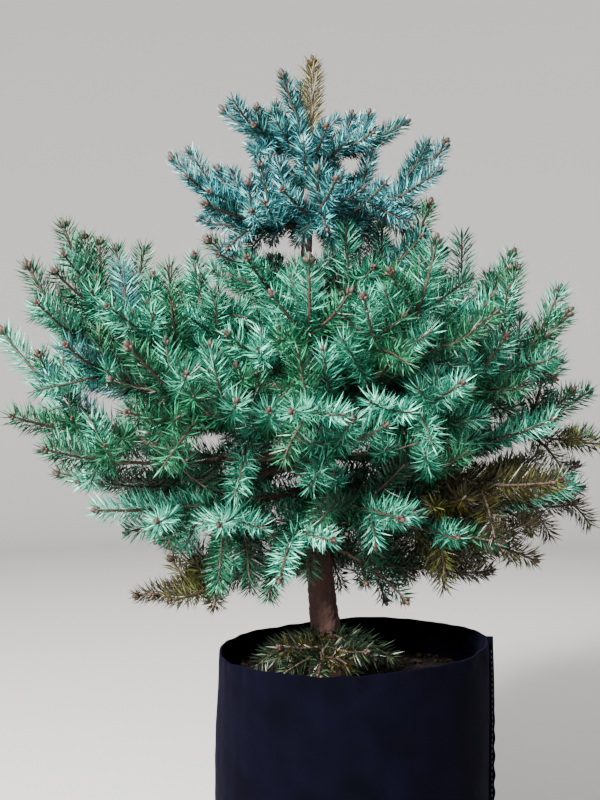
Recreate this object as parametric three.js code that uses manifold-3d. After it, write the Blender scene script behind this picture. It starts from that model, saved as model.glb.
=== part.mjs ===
// A young blue spruce in a black felt grow bag, made with three.js and manifold-3d.
//
// Millimetres, +Z up, origin in the middle of the bag's flat underside. The bag's sewn seam is on the +X side.
// The trunk stands in the soil a little off the bag's middle, leans and bows slightly, and runs up to the foot
// of its leader. Boughs stand round it in whorls, one arc each: nearly level at the trunk and turned up at the
// tip, or hanging on the lowest ones. The long boughs have a bare inner stretch, which is a limb of its own.
// Each mass of needles is one solid: a main shoot, the side shoots that fork off it at each year's node, and
// needles that stand out all round. The masses share out the crown between them, because a side shoot is kept
// only where it runs clear of the others, and a needle only where it is nearest to its own shoot.

import * as THREE from "three";
import { mergeVertices } from "three/addons/utils/BufferGeometryUtils.js";
import Module from "manifold-3d";

const wasm = await Module();
wasm.setup();

// ---- Driving dimensions ----

const GAP = 0.3; // between solids that touch
const SHORTEST_EDGE = 0.05;

const BAG = {
  radius: 150, // outside, at mid height
  height: 287, // mean height of the rim
  wall: 3,
  bulge: 3, // the filled bag swells by this much at mid height
  turn: 10, // height of the rounding between the side and the underside
  turnIn: 8, // how far the rounding goes in
  tilt: 6, // the rim is this much higher at the seam than on the far side
  wave: 2, // unevenness of the rim
  dent: 1.6, // depth of the side's soft folds
  sides: 32,
};
const SEAM = { reach: 7, sunk: 1.5, thick: 3.2, ear: 4, wave: 1.4, bearing: -6, steps: 12 };
const SOIL_TOP = 255;

const TRUNK = {
  foot: SOIL_TOP + GAP,
  top: 868, // foot of the leader
  leaderTip: 930,
  footX: -24,
  lean: -17, // sideways travel from the soil to the leader's tip
  bow: -17, // bend out of the straight line, to the left
  sway: 6, // bend from front to back
  radius: 15.5, // at the soil, without the flare
  topRadius: 2.6,
  flare: 7, // how much the root flare adds
  flareHeight: 18,
  sides: 10,
  rings: 14,
};

const LIMB = {
  share: 0.2, // of the bough's length is bare limb
  taper: 0.012, // radius for each millimetre of bough still to come
  tip: 1, // radius at the bough's tip
  sides: 6,
  rings: 4,
};

const SIDE_SHOOT = {
  firstShare: 0.2, // of the bough's length has no side shoots
  angle: 48, // from the axis it forks off, in degrees
  swing: 9,
  rolls: [-8, 188, 90], // right, left and above, in degrees round the axis
  share: [0.78, 0.78, 0.55], // of the length that the axis still has ahead of the fork
  vary: 0.12,
  upturn: 18,
  upturnSwing: 10,
  steepest: 85,
  shortest: 45,
  clearOfShoots: 21, // between its axis and the shoots of other masses
  clearOfLimbs: 9,
};

const TWIG = { root: 1.6, fork: 0.5, radius: 4, tip: 2.5, sides: 3, turn: 0.9 }; // with the feet of its needles
const NEEDLE = {
  reach: 17,
  sweep: 17, // how far its tip lies ahead of its foot
  vary: 0.14,
  spacing: 13.4, // between rings of needles
  bare: 13, // stretch at a shoot's foot without needles
  margin: 3.2, // to other masses and to limbs
  closing: 0.3, // the needles close in round the bud over the last rings
};

// Each bough: [height on the trunk, bearing, length, rise at the trunk, rise at the tip, years of growth].
// Bearings are in degrees from +X towards +Y, and rises in degrees above level.
const WHORLS = {
  top: {
    steep: [836, 214, 76, 54, 70, 1],
    left: [822, 180, 106, 12, 44, 2],
    back_right: [828, 32, 84, 18, 44, 1],
    right: [820, 350, 110, 6, 30, 2],
    front: [814, 282, 82, 0, 30, 1],
    back: [826, 100, 98, 10, 45, 2],
  },
  second: {
    left: [752, 184, 164, -2, 50, 2],
    right: [750, 352, 176, -2, 58, 2],
    front: [746, 284, 118, 0, 28, 2],
    front_left: [744, 218, 132, -6, 16, 2],
    back_right: [750, 62, 145, 0, 40, 2],
    back_left: [754, 124, 145, 0, 42, 2],
  },
  third: {
    left: [690, 180, 114, 2, 38, 2],
    right: [668, 342, 178, -4, 72, 2],
    back_right: [650, 28, 205, -4, 50, 3],
    back: [662, 110, 190, -2, 42, 3],
    front_left: [655, 246, 150, 0, 30, 2],
  },
  main: {
    left: [572, 180, 346, -6, 72, 4],
    front_left: [535, 200, 362, -8, 62, 4],
    far_left: [500, 188, 376, -14, 56, 4],
    right: [572, 8, 292, -2, 66, 4],
    front_right: [532, 346, 312, -6, 50, 4],
    far_right: [498, 2, 324, -10, 34, 4],
    front: [556, 270, 236, 0, 72, 3],
    front_upright: [548, 304, 288, -4, 76, 4],
    front_left_low: [520, 232, 290, -6, 40, 4],
    front_low: [500, 280, 215, -6, 26, 3],
    back_right: [560, 48, 320, -4, 54, 4],
    back: [535, 92, 330, -4, 50, 4],
    back_left: [555, 135, 320, -4, 52, 4],
  },
  lower: {
    right: [452, 14, 326, -14, 14, 4],
    back_right: [450, 66, 290, -12, 10, 3],
    back: [455, 118, 290, -12, 10, 3],
    left: [486, 168, 300, -14, 8, 4],
    front_left: [458, 210, 250, -10, 4, 3],
    front: [436, 256, 160, 0, -42, 2],
    front_right: [450, 296, 186, -2, -4, 3],
    near_right: [440, 332, 214, -10, -6, 3],
  },
  bottom: {
    left: [398, 164, 226, -28, -8, 3],
    front: [400, 320, 130, -8, -40, 2],
    right: [396, 30, 240, -18, -6, 3],
    back: [390, 100, 200, -20, -8, 3],
  },
  foot: { spray: [290, 264, 108, 8, -24, 3] },
};
const WHORL_WITH_LIMBS = "main";

// ---- Materials ----

const finish = (color, roughness) => new THREE.MeshStandardMaterial({ color, roughness, metalness: 0 });
const FELT = finish(0x15151c, 0.95);
const SOIL = finish(0x1c1510, 1);
const TRUNK_BARK = finish(0x5b3d30, 0.9);
const BOUGH_BARK = finish(0x6a4a36, 0.9);
const NEEDLES = {
  leader: finish(0x7d8f72, 0.6),
  top: finish(0x477f8a, 0.6),
  second: finish(0x47868a, 0.6),
  third: finish(0x549488, 0.6),
  main: finish(0x5aa08e, 0.6),
  lower: finish(0x4b8a72, 0.6),
  bottom: finish(0x56705a, 0.6),
  foot: finish(0x667a50, 0.6),
};

// ---- Small helpers ----

const radians = THREE.MathUtils.degToRad;
const degrees = THREE.MathUtils.radToDeg;
const lerp = THREE.MathUtils.lerp;
const UP = new THREE.Vector3(0, 0, 1);

// A number from 0 to 1 that is always the same for the same key.
function chance(key) {
  const s = Math.sin(key * 12.9898 + 4.1) * 43758.5453;
  return s - Math.floor(s);
}
const swing = (key, most) => (2 * chance(key) - 1) * most;

// A unit vector from a bearing and a rise in degrees.
function heading(bearing, rise) {
  return new THREE.Vector3(Math.cos(radians(rise)), 0, Math.sin(radians(rise))).applyAxisAngle(UP, radians(bearing));
}

// A geometry whose vertices are welded and then moved by place(vertex), as a solid with its faces pointing out.
function movedSolid(geometry, place) {
  geometry.deleteAttribute("normal");
  geometry.deleteAttribute("uv");
  const shape = mergeVertices(geometry, 1e-3);
  const position = shape.getAttribute("position");
  for (let i = 0; i < position.count; i++) {
    const moved = place(new THREE.Vector3().fromBufferAttribute(position, i));
    position.setXYZ(i, moved.x, moved.y, moved.z);
  }
  const closed = (triVerts) =>
    new wasm.Manifold(new wasm.Mesh({ numProp: 3, vertProperties: position.array, triVerts }));
  const corners = new Uint32Array(shape.index.array);
  const made = closed(corners);
  return made.volume() > 0 ? made : closed(corners.toReversed());
}

// A cylinder bent to any shape. place(t, x, z, ring, column) gives each vertex: t runs from 0 to 1 along it,
// and x and z lie on the unit circle, or are 0 in the middle of an end.
function bentCylinder(sides, rings, place) {
  return movedSolid(new THREE.CylinderGeometry(1, 1, 1, sides, rings), (v) => {
    const ring = Math.round((v.y + 0.5) * rings);
    const column = Math.round((Math.atan2(v.x, v.z) / (2 * Math.PI)) * sides + sides) % sides;
    return place(ring / rings, v.x, v.z, ring, column);
  });
}
const isMiddle = (x, z) => Math.hypot(x, z) < 0.5;

// The largest body of a solid, without loose scraps or sealed hollows, and without edges too short to keep.
function mainBody(made) {
  const bodies = made.simplify(SHORTEST_EDGE).decompose();
  return bodies.reduce((best, body) => (body.volume() > best.volume() ? body : best));
}

// A solid made in the part's frame becomes a mesh that stands at a place in it.
function addNode(parent, name, made, material, place = new THREE.Vector3()) {
  const { vertProperties, triVerts } = made.getMesh();
  const shape = new THREE.BufferGeometry();
  shape.setAttribute("position", new THREE.BufferAttribute(vertProperties, 3));
  shape.setIndex(new THREE.BufferAttribute(triVerts, 1));
  shape.translate(-place.x, -place.y, -place.z);
  shape.computeVertexNormals();
  const mesh = new THREE.Mesh(shape, material);
  mesh.name = name;
  mesh.position.copy(place);
  parent.add(mesh);
}

function addGroup(parent, name) {
  const group = new THREE.Group();
  group.name = name;
  parent.add(group);
  return group;
}

const part = new THREE.Group();
part.name = "potted_blue_spruce";

// ---- Grow bag and soil ----

// Radius of the bag's outside at a height, before its folds.
function bagRadius(z) {
  const swell = BAG.bulge * (Math.sin((Math.PI * z) / BAG.height) - 1);
  const below = Math.max(0, 1 - z / BAG.turn);
  return BAG.radius + swell - BAG.turnIn * (1 - Math.sqrt(1 - below ** 2));
}

const rimHeight = (a) => BAG.height + BAG.tilt * Math.cos(a) + BAG.wave * Math.sin(3 * a + 1) * Math.cos(2 * a);

// The folds move a point of the bag or the soil in or out, and the rim up or down.
function crumple(v) {
  const a = Math.atan2(-v.z, v.x);
  const up = v.y / BAG.height;
  const fold = BAG.dent * Math.sin(3 * a + 5 * up) * Math.sin(2 * a - 3 * up + 1);
  const level = Math.hypot(v.x, v.z);
  const r = level < 1 ? 0 : level + fold;
  return new THREE.Vector3(r * Math.cos(a), r * Math.sin(a), v.y > SOIL_TOP ? rimHeight(a) : v.y);
}

// The bag is one closed skin: out over the underside, up the side, over the rim and down again inside. The
// soil's rings lie at the same heights as the bag's and run the same way, so that it keeps the same gap all over.
const SIDE_HEIGHTS = [BAG.turn, 0.3 * SOIL_TOP, 0.65 * SOIL_TOP, SOIL_TOP];
const onSide = (inset) => (z) => new THREE.Vector2(bagRadius(z) - inset, z);
const downTo = (floor) => [...SIDE_HEIGHTS.toReversed(), floor];

function bagSolid() {
  const profile = [
    new THREE.Vector2(0, 0),
    ...[0, ...SIDE_HEIGHTS, BAG.height].map(onSide(0)),
    ...[BAG.height, ...downTo(BAG.wall)].map(onSide(BAG.wall)),
    new THREE.Vector2(0, BAG.wall),
  ];
  return movedSolid(new THREE.LatheGeometry(profile, BAG.sides), crumple);
}

function soilSolid() {
  const floor = BAG.wall + GAP;
  const profile = [
    new THREE.Vector2(0, SOIL_TOP),
    ...downTo(floor).map(onSide(BAG.wall + GAP)),
    new THREE.Vector2(0, floor),
  ];
  return movedSolid(new THREE.LatheGeometry(profile, BAG.sides), crumple);
}

// The sewn edge of the felt: a flat strip that stands out of the side, waves a little along its height and ends
// in an ear above the rim.
function seamSolid() {
  const a = radians(SEAM.bearing);
  const top = rimHeight(a) + SEAM.ear;
  const strip = new THREE.BoxGeometry(SEAM.reach + SEAM.sunk, SEAM.thick, top - BAG.turn, 1, 1, SEAM.steps);
  strip.translate((SEAM.reach - SEAM.sunk) / 2, 0, (top + BAG.turn) / 2);
  return movedSolid(strip, (v) => {
    const wave = v.x > 0 ? SEAM.wave : 0;
    const out = bagRadius(Math.min(v.z, BAG.height)) + v.x + wave * Math.sin(v.z / 11);
    const across = v.y + wave * Math.sin(v.z / 17 + 1);
    return new THREE.Vector3(out, across, v.z).applyAxisAngle(UP, a);
  });
}

const pot = addGroup(part, "pot");
addNode(pot, "grow_bag", bagSolid().add(seamSolid()), FELT);
addNode(pot, "soil", soilSolid(), SOIL);

// ---- Trunk ----

// The middle of the trunk at a height: a lean with one bow, and a slight sway from front to back.
function trunkAt(z) {
  const up = (z - SOIL_TOP) / (TRUNK.leaderTip - SOIL_TOP);
  return new THREE.Vector3(
    TRUNK.footX + TRUNK.lean * up + TRUNK.bow * Math.sin(Math.PI * up),
    TRUNK.sway * Math.sin(2 * Math.PI * up),
    z,
  );
}

function trunkRadius(z) {
  const up = (z - TRUNK.foot) / (TRUNK.top - TRUNK.foot);
  const flare = TRUNK.flare * Math.exp(-(z - TRUNK.foot) / TRUNK.flareHeight);
  return lerp(TRUNK.radius, TRUNK.topRadius, up) + flare;
}

// The trunk as a solid, swollen by extra. Its rings are closer together in the root flare.
function trunkSolid(extra) {
  return bentCylinder(TRUNK.sides, TRUNK.rings, (t, x, z) => {
    const height = lerp(TRUNK.foot, TRUNK.top, t ** 1.4);
    const radius = trunkRadius(height) + extra;
    return trunkAt(height).add(new THREE.Vector3(radius * x, -radius * z, 0));
  });
}

const plant = addGroup(part, "plant");
const roomForTrunk = trunkSolid(GAP);
addNode(plant, "trunk", trunkSolid(0), TRUNK_BARK);

// ---- Growth rule ----

// One axis of growth: an arc in an upright plane, whose rise turns evenly from its start to its tip.
class Axis {
  constructor(start, bearing, length, rise, tipRise, years) {
    Object.assign(this, { start, bearing, length, rise, tipRise, years });
    this.side = heading(bearing - 90, 0);
  }

  tangent(t) {
    return heading(this.bearing, lerp(this.rise, this.tipRise, t));
  }

  above(t) {
    return new THREE.Vector3().crossVectors(this.side, this.tangent(t));
  }

  point(t) {
    const from = radians(this.rise);
    const now = radians(lerp(this.rise, this.tipRise, t));
    const radius = this.length / radians(this.tipRise - this.rise);
    const out = heading(this.bearing, 0).multiplyScalar(radius * (Math.sin(now) - Math.sin(from)));
    out.z = radius * (Math.cos(from) - Math.cos(now));
    return out.add(this.start);
  }

  // A point beside the axis: x to its right and z above it.
  beside(t, x, z) {
    return this.point(t).addScaledVector(this.side, x).addScaledVector(this.above(t), z);
  }

  samples(from, to = 1) {
    const count = Math.max(2, Math.ceil((this.length * (to - from)) / SAMPLE_STEP));
    return Array.from({ length: count + 1 }, (_, i) => this.point(lerp(from, to, i / count)));
  }
}
const SAMPLE_STEP = 8;

// The side shoots of an axis fork off right, left and above at the end of each year's growth, and have the
// years that are left.
function sideShoots(axis, seed) {
  const found = [];
  for (let year = 1; year < axis.years; year++)
    for (const [place, middleRoll] of SIDE_SHOOT.rolls.entries()) {
      const t = year / axis.years;
      const key = seed * 31 + year * 7 + place;
      const turn = radians(SIDE_SHOOT.angle + swing(key, SIDE_SHOOT.swing));
      const roll = radians(middleRoll + swing(key + 0.3, 2 * SIDE_SHOOT.swing));
      const way = axis.tangent(t).multiplyScalar(Math.cos(turn));
      way.addScaledVector(axis.side, Math.cos(roll) * Math.sin(turn));
      way.addScaledVector(axis.above(t), Math.sin(roll) * Math.sin(turn));
      const bearing = degrees(Math.atan2(way.y, way.x));
      const rise = degrees(Math.asin(way.z));
      const upturn = SIDE_SHOOT.upturn + swing(key + 0.8, SIDE_SHOOT.upturnSwing);
      const tipRise = Math.min(rise + upturn, Math.max(rise + 3, SIDE_SHOOT.steepest));
      const share = SIDE_SHOOT.share[place] + swing(key + 0.6, SIDE_SHOOT.vary);
      const length = axis.length * (1 - t) * share;
      if (t > SIDE_SHOOT.firstShare && length > SIDE_SHOOT.shortest)
        found.push(new Axis(axis.point(t), bearing, length, rise, tipRise, axis.years - year));
    }
  return found;
}

function distanceTo(point, line) {
  const piece = new THREE.Line3();
  const near = new THREE.Vector3();
  let least = Infinity;
  for (let i = 1; i < line.length; i++) {
    piece.set(line[i - 1], line[i]).closestPointToPoint(point, true, near);
    least = Math.min(least, near.distanceTo(point));
  }
  return least;
}

// ---- Boughs and the shoots of each mass ----

const boughs = [];
for (const [whorl, members] of Object.entries(WHORLS))
  for (const [place, [height, bearing, length, rise, tipRise, years]] of Object.entries(members)) {
    const axis = new Axis(trunkAt(height), bearing, length, rise, tipRise, years);
    const bare = whorl === WHORL_WITH_LIMBS ? LIMB.share : 0;
    boughs.push({ name: `${whorl}_${place}`, whorl, axis, bare, seed: boughs.length + 1 });
  }
const leaderLength = TRUNK.leaderTip - TRUNK.top - NEEDLE.spacing / 2;
const leader = new Axis(trunkAt(TRUNK.top + GAP), 60, leaderLength, 86, 89.9, 1);
boughs.push({ name: "leader", whorl: "leader", axis: leader, bare: 0, seed: boughs.length + 1 });

const limbRadius = (axis, t) => LIMB.taper * axis.length * (1 - t) + LIMB.tip;
const trunkLine = Array.from({ length: 80 }, (_, i) => trunkAt(lerp(TRUNK.foot, TRUNK.top, i / 79)));
const limbs = boughs.filter((bough) => bough.bare);
const limbLines = limbs.map(({ axis, bare }) => ({ line: axis.samples(0, bare), radius: limbRadius(axis, 0) }));

// How far a point lies outside the trunk's and the limbs' surfaces.
function clearOfLimbs(point) {
  const trunkClear = distanceTo(point, trunkLine) - trunkRadius(Math.max(point.z, TRUNK.foot));
  return Math.min(trunkClear, ...limbLines.map(({ line, radius }) => distanceTo(point, line) - radius));
}

// A main shoot's line starts outside the trunk, so that it doesn't keep other masses' needles off the trunk.
for (const bough of boughs) {
  const fromTrunk = bough.name === "leader" ? 0 : 0.12;
  bough.shoots = [{ axis: bough.axis, from: bough.bare, line: bough.axis.samples(bough.bare || fromTrunk) }];
}
const shootsOfOthers = (bough) => boughs.filter((other) => other !== bough).flatMap((other) => other.shoots);

for (const bough of boughs)
  for (const axis of sideShoots(bough.axis, bough.seed)) {
    const line = axis.samples(0);
    const others = shootsOfOthers(bough);
    const isClear = line
      .slice(3)
      .every(
        (point) =>
          others.every((shoot) => distanceTo(point, shoot.line) > SIDE_SHOOT.clearOfShoots) &&
          clearOfLimbs(point) > SIDE_SHOOT.clearOfLimbs,
      );
    if (isClear) bough.shoots.push({ axis, from: 0, line });
  }

for (const { name, axis, bare } of limbs) {
  const limb = bentCylinder(LIMB.sides, LIMB.rings, (t, x, z) => {
    const radius = limbRadius(axis, t * bare);
    return axis.beside(t * bare, radius * x, radius * z);
  });
  addNode(plant, `bough_${name}`, mainBody(limb.subtract(roomForTrunk)), BOUGH_BARK, axis.start);
}

// ---- Masses of needles ----

// Whether a needle that ends at a point stays in its own shoot's share of the space.
function mayReach(point, shoot, bough, others) {
  const own = distanceTo(point, shoot.line);
  const sisters = bough.shoots.filter((sister) => sister !== shoot);
  return (
    others.every((other) => distanceTo(point, other.line) > own + NEEDLE.margin) &&
    sisters.every((sister) => distanceTo(point, sister.line) > own) &&
    clearOfLimbs(point) > NEEDLE.margin &&
    point.z > SOIL_TOP + NEEDLE.margin
  );
}

// One shoot: a three-sided twig with needles at every other corner, alternating from ring to ring. Each needle
// is a slim pyramid that leans forward, and the rings turn a little so that the needles stand all round.
function shootSolid(shoot, bough, others) {
  const { axis, from } = shoot;
  const start = from ? from + GAP / axis.length : 0;
  const rings = Math.max(4, Math.round((axis.length * (1 - start)) / NEEDLE.spacing));
  const rootRadius = from ? limbRadius(axis, from) : axis === bough.axis ? TWIG.root : TWIG.fork;
  return bentCylinder(TWIG.sides, rings, (t, x, z, ring, column) => {
    const s = lerp(start, 1, t);
    if (isMiddle(x, z)) return axis.point(s);
    if (ring === 0) return axis.beside(s, rootRadius * x, rootRadius * z);
    const turn = ring * TWIG.turn;
    const across = x * Math.cos(turn) - z * Math.sin(turn);
    const above = x * Math.sin(turn) + z * Math.cos(turn);
    const hasNeedle = axis.length * (s - start) > NEEDLE.bare && ring < rings && (ring + column) % 2 === 0;
    if (hasNeedle) {
      const closing = Math.min(1, NEEDLE.closing * (rings - ring + 1.5));
      const reach = NEEDLE.reach * closing * (1 - NEEDLE.vary * chance(ring * 5 + column + bough.seed));
      const tip = axis.beside(s, reach * across, reach * above).addScaledVector(axis.tangent(s), NEEDLE.sweep);
      if (mayReach(tip, shoot, bough, others)) return tip;
    }
    const radius = lerp(TWIG.radius, TWIG.tip, t);
    return axis.beside(s, radius * across, radius * above);
  });
}

for (const bough of boughs) {
  const others = shootsOfOthers(bough);
  const mass = bough.shoots
    .map((shoot) => shootSolid(shoot, bough, others))
    .reduce((joined, shoot) => joined.add(shoot))
    .subtract(roomForTrunk);
  addNode(plant, `needles_${bough.name}`, mainBody(mass), NEEDLES[bough.whorl], bough.axis.start);
}

export default part;
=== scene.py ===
"""A young blue spruce in a black felt grow bag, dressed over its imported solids.

The sections follow the plant as it is potted: the bag and its sewn seam, the compost, then the trunk, the
boughs, the twigs that grow on from them, their needles and their buds. Shapes are worked out in millimetres,
in the frame of the solids, and made into meshes in metres.
"""

import math

import bpy
import numpy as np
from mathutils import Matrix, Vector


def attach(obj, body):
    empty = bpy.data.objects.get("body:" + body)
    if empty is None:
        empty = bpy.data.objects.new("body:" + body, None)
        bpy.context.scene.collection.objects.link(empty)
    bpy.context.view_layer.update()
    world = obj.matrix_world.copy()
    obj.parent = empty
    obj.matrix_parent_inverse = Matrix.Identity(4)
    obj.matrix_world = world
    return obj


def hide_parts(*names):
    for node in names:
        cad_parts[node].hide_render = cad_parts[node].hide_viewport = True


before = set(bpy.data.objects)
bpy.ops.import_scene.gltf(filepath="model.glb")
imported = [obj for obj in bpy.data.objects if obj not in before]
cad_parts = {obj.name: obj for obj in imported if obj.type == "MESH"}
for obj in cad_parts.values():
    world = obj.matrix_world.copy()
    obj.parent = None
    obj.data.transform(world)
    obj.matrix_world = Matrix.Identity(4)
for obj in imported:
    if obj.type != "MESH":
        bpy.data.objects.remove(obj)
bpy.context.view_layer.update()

# ---- Camera ----
# It stands level in front of the plant at the height of its boughs, a little to the left of the bag's
# middle, near enough that the bag's foot is below the view.

EYE = Vector((-0.057, -1.285, 0.555))
HALF_HEIGHT_AT_TRUNK = 0.44  # what the view takes in above and below the eye's height

camera_data = bpy.data.cameras.new("camera")
camera_data.angle = 2 * math.atan(HALF_HEIGHT_AT_TRUNK / -EYE.y)
camera = bpy.data.objects.new("camera", camera_data)
camera.location = EYE
camera.rotation_euler = (math.radians(90), 0, 0)
bpy.context.scene.collection.objects.link(camera)
bpy.context.scene.camera = camera

# ---- Studio floor ----
# A round pale floor whose edge sweeps up into a wall all round, so that the plant has the same quiet
# background from every side.

MM = 0.001


def mesh_piece(name, points, quads, triangles, smooth=True):
    """A mesh object from points in millimetres, with quads and triangles as arrays of their numbers."""
    quads = np.asarray(quads, dtype=np.int32).reshape(-1, 4)
    triangles = np.asarray(triangles, dtype=np.int32).reshape(-1, 3)
    mesh = bpy.data.meshes.new(name)
    mesh.vertices.add(len(points))
    mesh.vertices.foreach_set("co", (np.asarray(points) * MM).astype(np.float32).ravel())
    mesh.loops.add(quads.size + triangles.size)
    mesh.loops.foreach_set("vertex_index", np.concatenate([quads.ravel(), triangles.ravel()]))
    mesh.polygons.add(len(quads) + len(triangles))
    starts = [np.arange(len(quads)) * 4, quads.size + np.arange(len(triangles)) * 3]
    mesh.polygons.foreach_set("loop_start", np.concatenate(starts).astype(np.int32))
    mesh.update(calc_edges=True)
    mesh.validate()
    mesh.polygons.foreach_set("use_smooth", np.full(len(mesh.polygons), smooth))
    piece = bpy.data.objects.new(name, mesh)
    bpy.context.scene.collection.objects.link(piece)
    return piece


def tube_faces(tubes, rings, columns):
    """Faces of tubes whose points run tube by tube, ring by ring, followed by two end points for each tube:
    quads between neighbouring rings, and a fan of triangles from each end point to the nearest ring."""
    column = np.arange(columns)
    beyond = (column + 1) % columns
    ring = np.arange(rings - 1)[:, None] * columns
    quads = [ring + column, ring + beyond, ring + columns + beyond, ring + columns + column]
    quads = np.stack(quads, axis=-1).reshape(-1, 4)
    last = (rings - 1) * columns
    first_end = np.full(columns, rings * columns)
    first_fan = np.stack([first_end, beyond, column], axis=-1)
    last_fan = np.stack([first_end + 1, last + column, last + beyond], axis=-1)
    fans = np.concatenate([first_fan, last_fan])
    offsets = (np.arange(tubes) * (rings * columns + 2))[:, None, None]
    return (quads + offsets).reshape(-1, 4), (fans + offsets).reshape(-1, 3)


def once_round(count):
    """Bearings in radians, evenly spaced once round."""
    return np.linspace(0, 2 * math.pi, count, endpoint=False)


def round_points(r, a, z):
    """Points at a distance r from the upright axis, at a bearing and a height: r cos(a), r sin(a) and z."""
    return np.stack(np.broadcast_arrays(r * np.cos(a), r * np.sin(a), z), axis=-1)


def new_material(name, color, roughness, specular=0.5):
    """A Principled material with its colour, roughness and specular level set."""
    material = bpy.data.materials.new(name)
    material.use_nodes = True
    shader = material.node_tree.nodes["Principled BSDF"]
    shader.inputs["Base Color"].default_value = (*color, 1)
    shader.inputs["Roughness"].default_value = roughness
    shader.inputs["Specular IOR Level"].default_value = specular
    return material


FLOOR_MIDDLE = 10
FLOOR_RADIUS = 3200
SWEEP_RADIUS = 900
WALL_HEIGHT = 3600
FLOOR_COLUMNS = 96
sweep = np.radians(np.linspace(0, 90, 16))
sweep_out = FLOOR_RADIUS + SWEEP_RADIUS * np.sin(sweep)
sweep_up = SWEEP_RADIUS * (1 - np.cos(sweep))
floor_out = np.concatenate([[FLOOR_MIDDLE, FLOOR_RADIUS / 2], sweep_out, [FLOOR_RADIUS + SWEEP_RADIUS]])
floor_up = np.concatenate([[0, 0], sweep_up, [WALL_HEIGHT]])
floor_rings = round_points(floor_out[:, None], once_round(FLOOR_COLUMNS), floor_up[:, None])
floor_points = np.concatenate([floor_rings.reshape(-1, 3), np.zeros((2, 3))])
floor_quads, floor_fans = tube_faces(1, len(floor_out), FLOOR_COLUMNS)
floor = mesh_piece("studio_floor", floor_points, floor_quads[:, ::-1], floor_fans[:FLOOR_COLUMNS, ::-1])
floor.data.materials.append(new_material("pale_backdrop", (0.48, 0.477, 0.471), 0.9))

# ---- Studio light ----
# A soft lamp high in front on the left, a weak wide one in front on the right, one above and behind that
# draws a rim of light on the crown, and an even pale glow from all round.

CROWN = Vector((-0.05, 0, 0.55))


def soft_lamp(name, place, size, watts, color):
    """A square area lamp that faces the middle of the crown."""
    lamp_data = bpy.data.lights.new(name, "AREA")
    lamp_data.size = size
    lamp_data.energy = watts
    lamp_data.color = color
    lamp = bpy.data.objects.new(name, lamp_data)
    lamp.location = place
    lamp.rotation_euler = (CROWN - Vector(place)).to_track_quat("-Z", "Y").to_euler()
    bpy.context.scene.collection.objects.link(lamp)


soft_lamp("key_lamp", (-1.5, -1.9, 1.9), 0.5, 540, (1, 0.99, 0.96))
soft_lamp("fill_lamp", (1.9, -1.5, 1.0), 1.6, 9, (1, 0.95, 0.88))
soft_lamp("rim_lamp", (0.5, 1.9, 2.4), 1.4, 70, (1, 0.98, 0.95))

world = bpy.data.worlds.new("glow")
world.use_nodes = True
glow = world.node_tree.nodes["Background"]
glow.inputs["Color"].default_value = (0.95, 0.97, 1, 1)
glow.inputs["Strength"].default_value = 0.11
bpy.context.scene.world = world

# ---- Grow bag ----
# A cylinder of thick black non-woven felt, filled until it swells a little. The skin is one closed surface:
# over the underside, up the outside, round the raw cut rim and down inside to the compost.

SOIL_TOP = 255
BAG = {"radius": 150, "height": 287, "wall": 3, "bulge": 3, "turn": 10, "turn_in": 8, "tilt": 6, "wave": 2}
FOLD_DEPTH = 1.6
SEAM_BEARING = math.radians(-6)

# Fine creases: how much they are drawn out up and down, their width, seed and depth.
CREASES = ((0.35, 34, 3, 0.9), (0.5, 15, 4, 0.35))
TAUT = 0.35  # how deep they are where the felt is stretched, as a share
SLACK_ABOVE_SOIL = 30  # the felt goes slack over this height, from the compost up
SLACK_AT_FOOT = 60  # and half as slack over this height, down to the floor
SMOOTH_FOOT = 12  # the creases fade out over this height at the floor


RIPPLE_WAVES = 14
RIPPLE_PEAK = 1.6  # how high the waves add up, at most


def ripple(points, length, seed):
    """Soft noise from about -1 to 1: the mean of plane waves of about one length in scattered directions."""
    waves = RIPPLE_WAVES
    random = np.random.default_rng(seed)
    ways = random.normal(size=(waves, 3))
    ways /= np.linalg.norm(ways, axis=1)[:, None]
    stretch = random.uniform(0.7, 1.4, waves)
    phases = random.uniform(0, 2 * math.pi, waves)
    total = np.zeros(points.shape[:-1])
    for way, stretched, phase in zip(ways, stretch, phases):
        total += np.sin(points @ way * (2 * math.pi * stretched / length) + phase)
    return total * math.sqrt(2 / waves) / RIPPLE_PEAK


def bag_radius(z):
    """Outer radius at a height: the swell is a half sine, and the foot rounds in along a quarter ellipse."""
    swell = BAG["bulge"] * (np.sin(np.pi * np.clip(z / BAG["height"], 0, 1)) - 1)
    below = np.clip(1 - z / BAG["turn"], 0, 1)
    return BAG["radius"] + swell - BAG["turn_in"] * (1 - np.sqrt(1 - below**2))


def bag_fold(a, z):
    """How far the folds move the side out: two slow waves round the bag that shift with height."""
    up = z / BAG["height"]
    return FOLD_DEPTH * np.sin(3 * a + 5 * up) * np.sin(2 * a - 3 * up + 1)


def rim_height(a):
    """Height of the rim round the bag: higher at the seam, and unevenly cut."""
    uneven = BAG["wave"] * np.sin(3 * a + 1) * np.cos(2 * a)
    return BAG["height"] + BAG["tilt"] * np.cos(a) + uneven


def bag_skin(inset, z, a):
    """Points of the bag's side, [height, bearing]: the radius with its folds, less the inset. Fine creases
    run up and down, deeper near the rim and the foot, where the felt is not stretched."""
    r = bag_radius(np.minimum(z, BAG["height"])) + bag_fold(a, z) - inset
    slack = np.clip((z - SOIL_TOP) / SLACK_ABOVE_SOIL, 0, 1) + 0.5 * np.clip(1 - z / SLACK_AT_FOOT, 0, 1)
    points = round_points(r, a, z)
    crease = sum(
        depth * ripple(points * [1, 1, drawn_out], width, seed) for drawn_out, width, seed, depth in CREASES
    )
    r = r + crease * (TAUT + slack) * np.clip(z / SMOOTH_FOOT, 0, 1)
    return round_points(r, a, z)


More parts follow.
